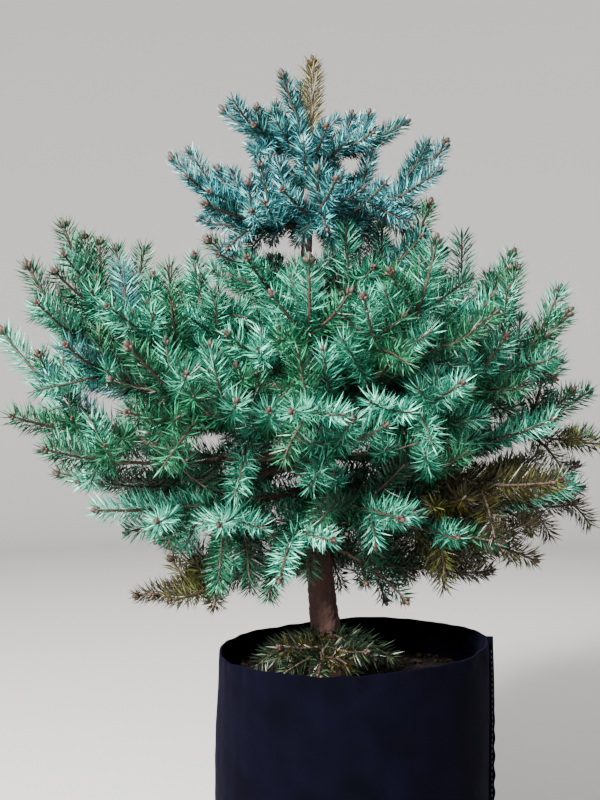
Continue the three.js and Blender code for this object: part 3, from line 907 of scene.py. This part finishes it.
# Twigs between the forks: where the first stands on its parent, the step to the next, and the rolls that
# they take in turn.
BETWEEN_FIRST = 18
BETWEEN_STEP = 19
BETWEEN_ROLLS = (-4, 184, 60, 120, 235, 305)
BETWEEN_ANGLE = 46
BETWEEN_LENGTH = {"shortest": 34, "longest": 105, "share": 0.5, "swing": 0.2}
STEEPEST_AT_FOOT = 16  # the foot's twigs keep the sum of their rises below this, and so hang
for number, parent in enumerate(list(shoots)):
    axis = parent["axis"]
    first = axis.bare * axis.length + BETWEEN_FIRST
    last = axis.length * (1 - 0.9 / axis.years)
    for place, along in enumerate(np.arange(first, last, BETWEEN_STEP)):
        key = KEYS["between"] + number * 17 + place
        t = (along + swing(key, 6)) / axis.length
        roll = BETWEEN_ROLLS[(place * 3 + number) % len(BETWEEN_ROLLS)]
        length = BETWEEN_LENGTH["shortest"] + BETWEEN_LENGTH["share"] * axis.length * (1 - t)
        length = min(length * (1 + swing(key + 0.5, BETWEEN_LENGTH["swing"])), BETWEEN_LENGTH["longest"])
        fork = forks(axis, key, t, BETWEEN_ANGLE, roll, 1, 1, upturn_of(parent["owner"], roll))
        fork = Axis(fork.start, fork.bearing, length, fork.rise, fork.tip_rise, 1)
        if boughs[parent["owner"]]["whorl"] != "foot" or fork.rise + fork.tip_rise < STEEPEST_AT_FOOT:
            grow_if_clear(parent["owner"], fork, 4, key, CLEARANCE["between"])

# ---- Trunk bark ----
# Thin grey-brown bark that has begun to break into small scaly plates near the soil and is still smooth and
# purplish towards the leader. It swells into a collar under each bough.

TRUNK_COLUMNS = 84
TRUNK_RINGS = 480
PLATES_AROUND = 13
PLATE_HEIGHT = 9.5
PLATE_GAP = 0.22  # of a plate's width
PLATE_LIFT = 1.1
BARK_THICKNESS = 1.6
CELL_KEY = (7.13, 3.71)  # what the key of a cell grows by, round the trunk and up it


def plates(u, v):
    """Scaly plates on a grid that closes on itself: one middle in each cell, moved by chance. Gives how much
    farther the second nearest middle is than the nearest, and a number from 0 to 1 of the nearest's own."""
    nearest = np.full(u.shape, 9.0)
    second = np.full(u.shape, 9.0)
    own = np.zeros(u.shape)
    for row in (-1, 0, 1):
        for column in (-1, 0, 1):
            cell_u = np.floor(u) + column
            cell_v = np.floor(v) + row
            key = (cell_u % PLATES_AROUND) * CELL_KEY[0] + cell_v * CELL_KEY[1]
            middle_u = cell_u + 0.15 + 0.7 * chance(key)
            middle_v = cell_v + 0.15 + 0.7 * chance(key + 50)
            apart = np.hypot(middle_u - u, middle_v - v)
            closer = apart < nearest
            second = np.where(closer, nearest, np.minimum(second, apart))
            own = np.where(closer, chance(key + 90), own)
            nearest = np.minimum(nearest, apart)
    return second - nearest, own


def note_on_points(piece, name, values):
    """Stores a number for each vertex of a piece, for its material to read."""
    note = piece.data.attributes.new(name, "FLOAT", "POINT")
    note.data.foreach_set("value", values.astype(np.float32).ravel())


trunk_z = np.linspace(SOIL_TOP - 7, LEADER_FOOT + 3, TRUNK_RINGS)[:, None]
trunk_turn = once_round(TRUNK_COLUMNS)
plates_round = trunk_turn / (2 * math.pi) * PLATES_AROUND + 0.35 * np.sin(trunk_z / 23)
plates_up = trunk_z / PLATE_HEIGHT + 0.4 * np.sin(3 * trunk_turn)
gap_between, plate_number = plates(plates_round, plates_up)
girth = trunk_radius(np.maximum(trunk_z, SOIL_TOP))
scaly = np.clip((girth - 3) / 12, 0.12, 1)
lifted = np.clip(gap_between / PLATE_GAP, 0, 1) ** 0.6
round_trunk = round_points(1, trunk_turn, trunk_z / 14) * 10
relief = scaly * (PLATE_LIFT * lifted * (0.55 + 0.45 * plate_number) - 0.6)
relief = relief + scaly * 0.5 * ripple(round_trunk, 9, 31) + 0.25 * ripple(round_trunk, 3.5, 32)
for bough in boughs[:-1]:
    axis = bough["axis"]
    aside = (trunk_turn - math.radians(axis.bearing) + math.pi) % (2 * math.pi) - math.pi
    reach = 0.35 + limb_radius(axis) / girth
    above_fork = trunk_z - axis.start[2]
    spread = np.where(above_fork > 0, 5.0, 9.0) + 0.01 * axis.length
    collar = np.exp(-((aside / reach) ** 2) - (above_fork / spread) ** 2)
    relief = relief + (0.6 + 0.007 * axis.length) * collar
flare_waves = np.exp(-(trunk_z - SOIL_TOP) / 30) * 2.2 * np.sin(5 * trunk_turn + 0.7)
trunk_r = girth + relief + flare_waves + BARK_THICKNESS * scaly
trunk_rings = trunk_at(trunk_z + 0 * trunk_turn) + round_points(trunk_r, trunk_turn, 0)
trunk = tube_piece("trunk_bark", trunk_rings[None])
# Each plate's own tone, falling to nothing in the gaps between plates, which paints shade into them.
note_on_points(trunk, "plate_tone_and_gap_shade", np.append((lifted * (0.4 + 0.6 * plate_number)).ravel(), [0, 0]))

bark = new_material("scaly_bark", (0.1, 0.06, 0.04), 0.88)
mottle = pattern_of(bark, "Noise", Scale=170, Detail=6)
plate_tone_and_gap_shade = node_of(bark, "Attribute", {"attribute_name": "plate_tone_and_gap_shade"})
gap_shade_and_mottle = node_of(bark, "Mix", {"data_type": "FLOAT"}, Factor=0.5, A=plate_tone_and_gap_shade.outputs["Fac"], B=mottle["Fac"])
bark_place = node_of(bark, "TexCoord")
bark_height = node_of(bark, "SeparateXYZ", Vector=bark_place.outputs["Object"])
climb = node_of(bark, "MapRange", Value=bark_height.outputs["Z"], From_Min=0.36, From_Max=0.74)
# Old bark is darkest in the gaps between its plates, as painted shade, and mottled.
old_bark = shades_of(
    bark, gap_shade_and_mottle.outputs["Result"], (0.0024, 0.0007, 0.0006), (0.054, 0.0175, 0.012), 0.1, 0.85
)
young_bark = shades_of(bark, mottle["Fac"], (0.03, 0.017, 0.018), (0.16, 0.1, 0.11))
between = node_of(
    bark, "Mix", {"data_type": "RGBA"}, Factor=climb.outputs["Result"], A=old_bark, B=young_bark
)
finish_with(
    bark,
    between.outputs["Result"],
    node_of(bark, "Bump", Height=mottle["Fac"], Strength=0.8, Distance=0.0006),
)
trunk.data.materials.append(bark)
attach(trunk, "root")
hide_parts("trunk")

# ---- Bough bark ----
# Each bough's stem, from inside the trunk to its tip. Last year's growth is thin and tan; what is older has
# gone grey-brown and is rough with the pegs that its needles stood on. A ring of scars ends each year.

BOUGH_RINGS = 64
BOUGH_COLUMNS = 10
BOUGH_TAPER = 0.0115  # radius for each millimetre that is left to the tip
BOUGH_TIP = 1.25
SCAR_RING = {"height": 0.7, "width": 4}
BRANCH_COLLAR = {"height": 2.2, "width": 14}
BOUGH_ROUGHNESS = 0.14
STRAY = {"across": 1.1, "up": 0.9}  # how far a stem strays from its arc, at most


def stem_rings(axis, t, radius, columns, key):
    """Rings of points round an axis at shares t of its length, with a radius for each point, [ring, column].
    The middle strays from the arc, by sines that fade out at both ends."""
    turn = once_round(columns)
    stray = STRAY["across"] * np.sin(np.pi * t) * np.sin(axis.length * t / 23 + 6 * chance(key))
    dip = STRAY["up"] * np.sin(np.pi * t) * np.sin(axis.length * t / 31 + 6 * chance(key + 1))
    across = radius * np.cos(turn) + stray[:, None]
    above = radius * np.sin(turn) + dip[:, None]
    middle = axis.point(t)[:, None]
    return middle + across[..., None] * axis.side + above[..., None] * axis.above(t)[:, None]


def wood_ages(axes, t, columns):
    """For each face of tubes along the axes, in the order of tube_faces, 1 where it is last year's growth
    and 0 where it is older. Each year has grown the same share of an axis's length."""
    first_young = np.array([1 - 1 / axis.years for axis in axes])
    on_sides = np.repeat((t[:-1] > first_young[:, None]).ravel(), columns)
    on_ends = np.tile(np.repeat([False, True], columns), len(axes))
    return np.concatenate([on_sides, on_ends]).astype(np.int32)


bough_axes = [bough["axis"] for bough in boughs[:-1]]
bough_t = np.linspace(0, 1, BOUGH_RINGS)
bough_points = np.arange(BOUGH_RINGS * BOUGH_COLUMNS).reshape(BOUGH_RINGS, -1)
bough_rings = []
for number, axis in enumerate(bough_axes):
    along = axis.length * bough_t
    radius = BOUGH_TAPER * axis.length * (1 - bough_t) + BOUGH_TIP
    for year in range(1, axis.years):
        from_scar = (along - axis.length * year / axis.years) / SCAR_RING["width"]
        radius = radius + SCAR_RING["height"] * np.exp(-(from_scar**2))
    radius = radius + BRANCH_COLLAR["height"] * np.exp(-along / BRANCH_COLLAR["width"])
    rough = 1 + BOUGH_ROUGHNESS * swing(bough_points + number * 900.0, 1)
    bough_rings.append(stem_rings(axis, bough_t, radius[:, None] * rough, BOUGH_COLUMNS, number * 5.0))
bough_stems = tube_piece("bough_bark", np.stack(bough_rings))

old_wood = new_material("grey_brown_bark", (0.1, 0.065, 0.045), 0.9)
pegs = pattern_of(old_wood, "Voronoi", Scale=420)
finish_with(
    old_wood,
    shades_of(old_wood, pegs["Distance"], (0.096, 0.063, 0.042), (0.027, 0.016, 0.011)),
    node_of(old_wood, "Bump", {"invert": True}, Height=pegs["Distance"], Strength=0.7, Distance=0.0006),
)
young_wood = new_material("tan_shoot_bark", (0.09, 0.05, 0.036), 0.7)
grooves = pattern_of(young_wood, "Noise", Scale=520)
finish_with(
    young_wood,
    shades_of(young_wood, grooves["Fac"], (0.019, 0.0082, 0.0052), (0.06, 0.03, 0.014), 0.35, 0.7),
    node_of(young_wood, "Bump", Height=grooves["Fac"], Strength=0.6, Distance=0.0004),
)
bough_stems.data.materials.append(old_wood)
bough_stems.data.materials.append(young_wood)
bough_ages = wood_ages(bough_axes, bough_t, BOUGH_COLUMNS)
bough_stems.data.polygons.foreach_set("material_index", bough_ages)
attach(bough_stems, "root")
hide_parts(*[f"bough_{bough['name']}" for bough in boughs if bough["axis"].bare])

# ---- Twigs ----
# All the shoots that fork off the boughs, and the leader: thinner woody stems with the same two ages of
# bark, each grown out of the one that it forks from.

TWIG_RINGS = 13
TWIG_COLUMNS = 6
TWIG_TAPER = 0.009
SIDE_SHOOT_TIP = 1.1
TWIG_TIP = 0.85
TWIG_ROUGHNESS = 0.12
twig_shoots = [shoot for shoot in shoots if shoot["level"] > 0 or shoot["axis"] is leader_axis]
twig_t = np.linspace(0, 1, TWIG_RINGS)
twig_points = np.arange(TWIG_RINGS * TWIG_COLUMNS).reshape(TWIG_RINGS, -1)
twig_rings = []
for shoot in twig_shoots:
    axis = shoot["axis"]
    tip_radius = SIDE_SHOOT_TIP if shoot["level"] < 2 else TWIG_TIP
    radius = TWIG_TAPER * axis.length * (1 - twig_t) + tip_radius
    rough = 1 + swing(twig_points + shoot["key"] * 80.0, TWIG_ROUGHNESS)
    twig_rings.append(stem_rings(axis, twig_t, radius[:, None] * rough, TWIG_COLUMNS, shoot["key"] + 0.5))
twigs = tube_piece("twigs", np.stack(twig_rings))
twigs.data.materials.append(old_wood)
twigs.data.materials.append(young_wood)
twig_ages = wood_ages([shoot["axis"] for shoot in twig_shoots], twig_t, TWIG_COLUMNS)
twigs.data.polygons.foreach_set("material_index", twig_ages)
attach(twigs, "root")
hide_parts(*[f"needles_{bough['name']}" for bough in boughs])

# ---- Needles ----
# Stiff, sharp needles with a bloom of blue-white wax on one side, each on a peg of its own and set round
# the twig at the golden angle. They lean and curve forward, sweep up a little, and close round its bud.

NEEDLES_PER_MM = 2.2
NEEDLE_RADIUS = 0.74


def paint(red, green, blue):
    """A colour from the 0 to 255 of a paint chart, as the light that it gives back."""
    chart = np.array([red, green, blue]) / 255
    return tuple(np.where(chart < 0.04045, chart / 12.92, ((chart + 0.055) / 1.055) ** 2.4))


# Each tone's greener sides, its side where the wax is thick, and the tone that its needles have once they
# are older than a year.
TONES = {
    "straw": (paint(62, 56, 32), paint(134, 128, 90), "straw"),
    "silver_blue": (paint(30, 84, 90), paint(124, 188, 186), "blue"),
    "blue": (paint(12, 58, 66), paint(82, 156, 158), "teal"),
    "teal": (paint(8, 48, 48), paint(52, 116, 114), "deep_green"),
    "bright_mint": (paint(26, 114, 94), paint(128, 222, 194), "mint"),
    "mint": (paint(8, 70, 52), paint(76, 172, 144), "green"),
    "green": (paint(4, 44, 26), paint(42, 120, 82), "deep_green"),
    "deep_green": (paint(2, 26, 16), paint(16, 68, 46), "deep_green"),
    # Olive and dark olive stand for painted shade, with a painted warm reflection in their brown: they are
    # dealt only where the crown lies in shade.
    "olive": (paint(32, 32, 6), paint(88, 94, 42), "dark_olive"),
    "dark_olive": (paint(20, 16, 2), paint(54, 50, 14), "dark_olive"),
    # The foot's dull grey-green is its own colour, darkened with painted shade.
    "shaded_dull_green": (paint(10, 26, 16), paint(50, 66, 44), "shaded_dull_green"),
}
NEEDLE_ROUGHNESS = 0.38
NEEDLE_SHINE = 0.32
needle_materials = []
for tone, colors in TONES.items():
    for side, color in zip(("green_sides", "waxy_side"), colors):
        needle_materials.append(new_material(f"{tone}_{side}", color, NEEDLE_ROUGHNESS, NEEDLE_SHINE))

# What each part of the crown grows: its tones, and its needles' length, lean off the twig in degrees, and
# number as a share of the usual.
NEEDLES_OF = {
    "leader": (("straw",), 20, 58, 1.5),
    "top": (("blue", "silver_blue", "blue", "teal"), 16, 56, 1.3),
    "second": (("blue", "silver_blue", "teal", "blue"), 17, 57, 1.25),
    "third": (("mint", "teal", "green", "mint"), 20, 60, 1),
    "main": (("mint", "bright_mint", "mint", "green", "mint", "green", "mint"), 21.5, 61, 1),
    "lower": (("mint", "bright_mint", "green", "mint", "green"), 21.5, 60, 1),
    # The lowest boughs' olive, dark olive and deep green tones are painted shade.
    "bottom": (("olive", "dark_olive", "deep_green", "olive", "green"), 20, 60, 0.9),
    # The foot's dull green is darkened with painted shade.
    "foot": (("shaded_dull_green",), 20, 60, 0.75),
}

# Where the tones change across the crown: places across and heights, and distances from its middle.
# On the right side, under the crown and in its heart, the tones dealt out are painted shade.
SHADED_RIGHT_SIDE = {"from": 70, "far": 160, "below": 515}
SHADED_UNDERSIDE = 400
CROWN_MIDDLE = -45
SHADED_HEART = {"within": 170, "below": 560}
LEFT_SIDE = {"from": -150, "above": 420, "below": 575}
FAR_LEFT = -235
LOW_FRONT = ("lower_front", "lower_front_left", "lower_front_right", "lower_near_right")


def tone_of(shoot):
    """The tone of one spray's youngest needles, by where its tip is and by chance. Most sprays on the lower
    right side, and under the crown except in front, are olive: painted shade, on the right with a painted
    warm reflection in it. The foot is a dull green darkened with painted shade, the low boughs in front are
    bright mint, and what grows deep in the crown is dark green as painted shade. The left side has more
    greens, and its far end more blues. All others take one of their whorl's own tones."""
    bough = boughs[shoot["owner"]]
    tones = NEEDLES_OF[bough["whorl"]][0]
    draw = chance(shoot["key"] * 1.7 + 3)
    x, y, z = shoot["axis"].point(1)
    # Sprays low on the right are dealt olive as painted shade, with a painted warm reflection in it.
    on_right = x > SHADED_RIGHT_SIDE["from"] and z < SHADED_RIGHT_SIDE["below"]
    if on_right and draw < (0.92 if x > SHADED_RIGHT_SIDE["far"] else 0.7):
        return "dark_olive" if draw < 0.4 else "olive"
    # Sprays under the crown, except in front, are dealt olive as painted shade.
    if z < SHADED_UNDERSIDE and bough["whorl"] != "foot" and "front" not in bough["place"] and draw < 0.85:
        return "dark_olive" if draw < 0.35 else "olive"
    # The foot's fan is dealt a dull green darkened with painted shade, or dark olive as painted shade.
    if bough["whorl"] == "foot":
        return "shaded_dull_green" if draw < 0.7 else "dark_olive"
    if bough["name"] in LOW_FRONT and shoot["level"] < 3 and draw < 0.85:
        return "bright_mint" if draw < 0.72 else "mint"
    # Sprays deep in the crown's heart are dealt dark green as painted shade.
    if z < SHADED_HEART["below"] and math.hypot(x - CROWN_MIDDLE, y) < SHADED_HEART["within"] and draw < 0.82:
        return "deep_green" if draw < 0.58 else "green"
    if x < LEFT_SIDE["from"] and LEFT_SIDE["above"] < z < LEFT_SIDE["below"] and draw < 0.62:
        return "deep_green" if 0.1 < draw < 0.3 else "green"
    if x < FAR_LEFT and draw < 0.4:
        return ("teal", "silver_blue", "blue")[int(draw * 7.5)]
    return tones[int(chance(shoot["key"] * 2.3 + 8) * len(tones))]


# Where a shoot's needles begin: so far outside the trunk, along a side shoot, or down the trunk from the
# leader's foot.
BEGIN_OFF_TRUNK = 6
BEGIN_ON_TWIG = 5
BEGIN_BELOW_LEADER = -32

# How far chance moves a needle: along its twig as a share of its spacing, round it in radians, its lean in
# degrees, and its length as a share.
NEEDLE_SWING = {"along": 0.3, "round": 0.35, "lean": 14, "length": 0.13}
SHED_EACH_YEAR = 0.17  # after the first year
LAST_YEAR = 1.05  # up to this age, in years, needles are fresh

# How far the lean closes at a shoot's tip, and how much shorter needles are at its tip and at its start: a
# share, and the length over which it fades.
CLOSING = (0.36, 8)
SHORTER_AT_TIP = (0.3, 7)
SHORTER_AT_START = (0.3, 8)
SHORT_SHOOT = (0.78, 250)  # the needles of short shoots are shorter: from this share, by length over this
FOOT_LEAN = 0.1  # a needle leans out so many radians more at its foot
TIP_LEAN = 0.14  # and so many less at its tip
UPWARD_SWEEP = 0.16
MIDDLE_OF_NEEDLE = 0.42
STEM_AT_TIP = 0.6
PEG_DEPTH = 0.5


def fading(amount_and_length, distance):
    """One, less an amount that fades away with distance, by e for each length."""
    amount, length = amount_and_length
    return 1 - amount * np.exp(-distance / length)


def unit(vectors):
    """The vectors at a length of one."""
    return vectors / np.linalg.norm(vectors, axis=1)[:, None]


def needles_of(shoot):
    """The needles of one shoot, as [needle, point, xyz] with the foot, three points round the middle and the
    tip, and whether each needle is last year's."""
    axis = shoot["axis"]
    key = shoot["key"] * 31.7
    whorl = boughs[shoot["owner"]]["whorl"]
    _, usual_length, usual_lean, density = NEEDLES_OF[whorl]
    if whorl == "leader":
        inside = BEGIN_BELOW_LEADER
    elif axis.bare:
        inside = axis.bare * axis.length
    elif shoot["level"] == 0:
        inside = trunk_radius(axis.start[2]) + BEGIN_OFF_TRUNK
    else:
        inside = BEGIN_ON_TWIG
    count = int((axis.length - inside) * NEEDLES_PER_MM * density)
    number = np.arange(count)
    step = number + 0.5 + swing(number + key, NEEDLE_SWING["along"])
    along = inside + step / count * (axis.length - inside)
    t = along / axis.length
    age = (1 - t) * axis.years
    kept = chance(number * 1.3 + key + 7) > SHED_EACH_YEAR * np.maximum(age - 1, 0)
    t, along, number = t[kept], along[kept], number[kept]
    to_tip = axis.length - along
    turn = number * GOLDEN_ANGLE + swing(number + key + 0.4, NEEDLE_SWING["round"])
    tangent, above, side = axis.tangent(t), axis.above(t), axis.side
    out = np.cos(turn)[:, None] * side + np.sin(turn)[:, None] * above
    lean = usual_lean * fading(CLOSING, to_tip) + swing(number + key + 0.7, NEEDLE_SWING["lean"])
    lean = np.radians(lean)[:, None]
    lifted = UPWARD_SWEEP * (whorl != "foot") * (1 + (1 - np.abs(tangent[:, 2:]))) * np.array([0, 0, 1])
    foot_way = tangent * np.cos(lean + FOOT_LEAN) + out * np.sin(lean + FOOT_LEAN)
    tip_way = tangent * np.cos(lean - TIP_LEAN) + out * np.sin(lean - TIP_LEAN) + lifted
    size = usual_length * (1 + swing(number + key + 0.9, NEEDLE_SWING["length"]))
    size = size * fading(SHORTER_AT_TIP, to_tip) * fading(SHORTER_AT_START, along - inside)
    size = (size * min(1, SHORT_SHOOT[0] + axis.length / SHORT_SHOOT[1]))[:, None]
    stem = (TWIG_TAPER * axis.length * (1 - t) + STEM_AT_TIP)[:, None]
    foot = axis.point(t) + out * stem
    middle = foot + (foot_way * 0.7 + tip_way * 0.3) * MIDDLE_OF_NEEDLE * size
    tip = foot + (foot_way + tip_way) / 2 * size
    across = unit(np.cross(foot_way, tangent))
    other = unit(np.cross(foot_way, across))
    points = [foot - tangent * PEG_DEPTH]
    for corner in np.radians([0, 120, 240]):
        twist = (corner + 2 * math.pi * chance(number + key + 0.55))[:, None]
        points.append(middle + NEEDLE_RADIUS * (np.cos(twist) * across + np.sin(twist) * other))
    return np.stack([*points, tip], axis=1), axis.years * (1 - t) < LAST_YEAR


# Three faces from a needle's foot to its middle, and three from there to its tip. One of each is waxy.
NEEDLE_FACES = np.array([[0, 2, 1], [0, 3, 2], [0, 1, 3], [1, 2, 4], [2, 3, 4], [3, 1, 4]])
WAXY_FACES = np.array([1, 0, 0, 1, 0, 0])
NEEDLE_POINTS = 5


def needle_piece(name, members):
    """One piece with all needles of some shoots, each shoot's in its own tone."""
    tones = list(TONES)
    blocks = []
    tone_blocks = []
    for shoot in members:
        block, young = needles_of(shoot)
        fresh = tone_of(shoot)
        blocks.append(block)
        tone_blocks.append(np.where(young, tones.index(fresh), tones.index(TONES[fresh][2])))
    points = np.concatenate(blocks)
    tone = np.concatenate(tone_blocks)
    offsets = (np.arange(len(points)) * NEEDLE_POINTS)[:, None, None]
    faces = (NEEDLE_FACES + offsets).reshape(-1, 3)
    piece = mesh_piece(name, points.reshape(-1, 3), [], faces, smooth=False)
    used = sorted(set(tone.tolist()))
    for number in used:
        piece.data.materials.append(needle_materials[2 * number])
        piece.data.materials.append(needle_materials[2 * number + 1])
    slots = 2 * np.searchsorted(used, tone)[:, None] + WAXY_FACES
    piece.data.polygons.foreach_set("material_index", slots.astype(np.int32).ravel())
    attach(piece, "root")
    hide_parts(*sorted({f"needles_{boughs[shoot['owner']]['name']}" for shoot in members}))


# The pieces of needles: a name, the whorls, the bearings that its boughs lie between, and its slot.
NEEDLE_PIECES = (
    ("leader_needles", ("leader",), (0, 360), "needles_straw"),
    ("top_needles", ("top", "second"), (0, 360), "needles_blue"),
    ("third_needles", ("third",), (0, 360), "needles_mint"),
    ("main_left_needles", ("main",), (140, 225), "needles_mint"),
    ("main_front_needles", ("main",), (225, 325), "needles_mint"),
    ("main_right_needles", ("main",), (325, 385), "needles_mint"),
    ("main_back_needles", ("main",), (25, 140), "needles_mint"),
    ("lower_front_needles", ("lower",), (180, 360), "needles_green"),
    ("lower_back_needles", ("lower",), (0, 180), "needles_green"),
    ("bottom_needles", ("bottom", "foot"), (0, 360), "needles_dark"),
)
for name, whorls, (low, high), slot in NEEDLE_PIECES:
    taken = [
        owner
        for owner, bough in enumerate(boughs)
        if bough["whorl"] in whorls and (bough["axis"].bearing - low) % 360 < high - low
    ]
    needle_piece(name, [shoot for shoot in shoots if shoot["owner"] in taken])

# ---- Buds ----
# A blunt egg-shaped winter bud of papery brown scales ends every shoot, with smaller ones set round it on
# all but the finest twigs.

BUD_LATITUDES = np.radians([-60, -15, 25, 62])
BUD_COLUMNS = 6
BUD = {"width": 3.1, "length": 5.6}
SIDE_BUD = {"width": 2.4, "length": 4.2}
BUD_SIZES = (1.7, 1.4, 1.0, 0.85, 0.75)  # for boughs, then for each finer level of shoots
SIDE_BUDS = (5, 5, 2, 0, 0)
UPRIGHT_RISE = 0.6  # the buds of shoots that point up by more than this sine are larger
UPRIGHT_SHARE = 0.22


def bud_rings(place, way, side, width, length):
    """Rings of an egg on its long axis: the sine of each latitude along it, and the cosine round it, swelled
    by the power 0.8."""
    other = np.cross(way, side)
    turn = once_round(BUD_COLUMNS)[:, None]
    ring = np.cos(turn) * side + np.sin(turn) * other
    rings = []
    for latitude in BUD_LATITUDES:
        middle = place + way * length / 2 * (1 + math.sin(latitude))
        rings.append(middle + ring * width / 2 * math.cos(latitude) ** 0.8)
    return np.stack(rings), np.stack([place, place + way * length])


bud_meshes = []
for shoot in shoots:
    axis = shoot["axis"]
    level = int(shoot["level"])
    tip = axis.point(1)
    way = axis.tangent(1)
    size = BUD_SIZES[level] * (1 + UPRIGHT_SHARE * (way[2] > UPRIGHT_RISE))
    bud_meshes.append(bud_rings(tip - way, way, axis.side, BUD["width"] * size, BUD["length"] * size))
    for aside in range(SIDE_BUDS[level]):
        turn = 2 * math.pi * aside / SIDE_BUDS[level] + shoot["key"]
        outwards = axis.side * math.cos(turn) + axis.above(1) * math.sin(turn)
        slanted = way * 0.75 + outwards * 0.66
        width, length = SIDE_BUD["width"] * size, SIDE_BUD["length"] * size
        bud_meshes.append(bud_rings(tip - way * 1.5, slanted, np.cross(way, outwards), width, length))
rings, ends = zip(*bud_meshes)
buds = tube_piece("winter_buds", np.stack(rings), np.stack(ends))
scales = new_material("bud_scales", (0.055, 0.03, 0.028), 0.65)
scale_edges = pattern_of(scales, "Voronoi", Scale=900)
finish_with(scales, shades_of(scales, scale_edges["Distance"], (0.066, 0.033, 0.022), (0.02, 0.009, 0.007)))
buds.data.materials.append(scales)
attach(buds, "root")
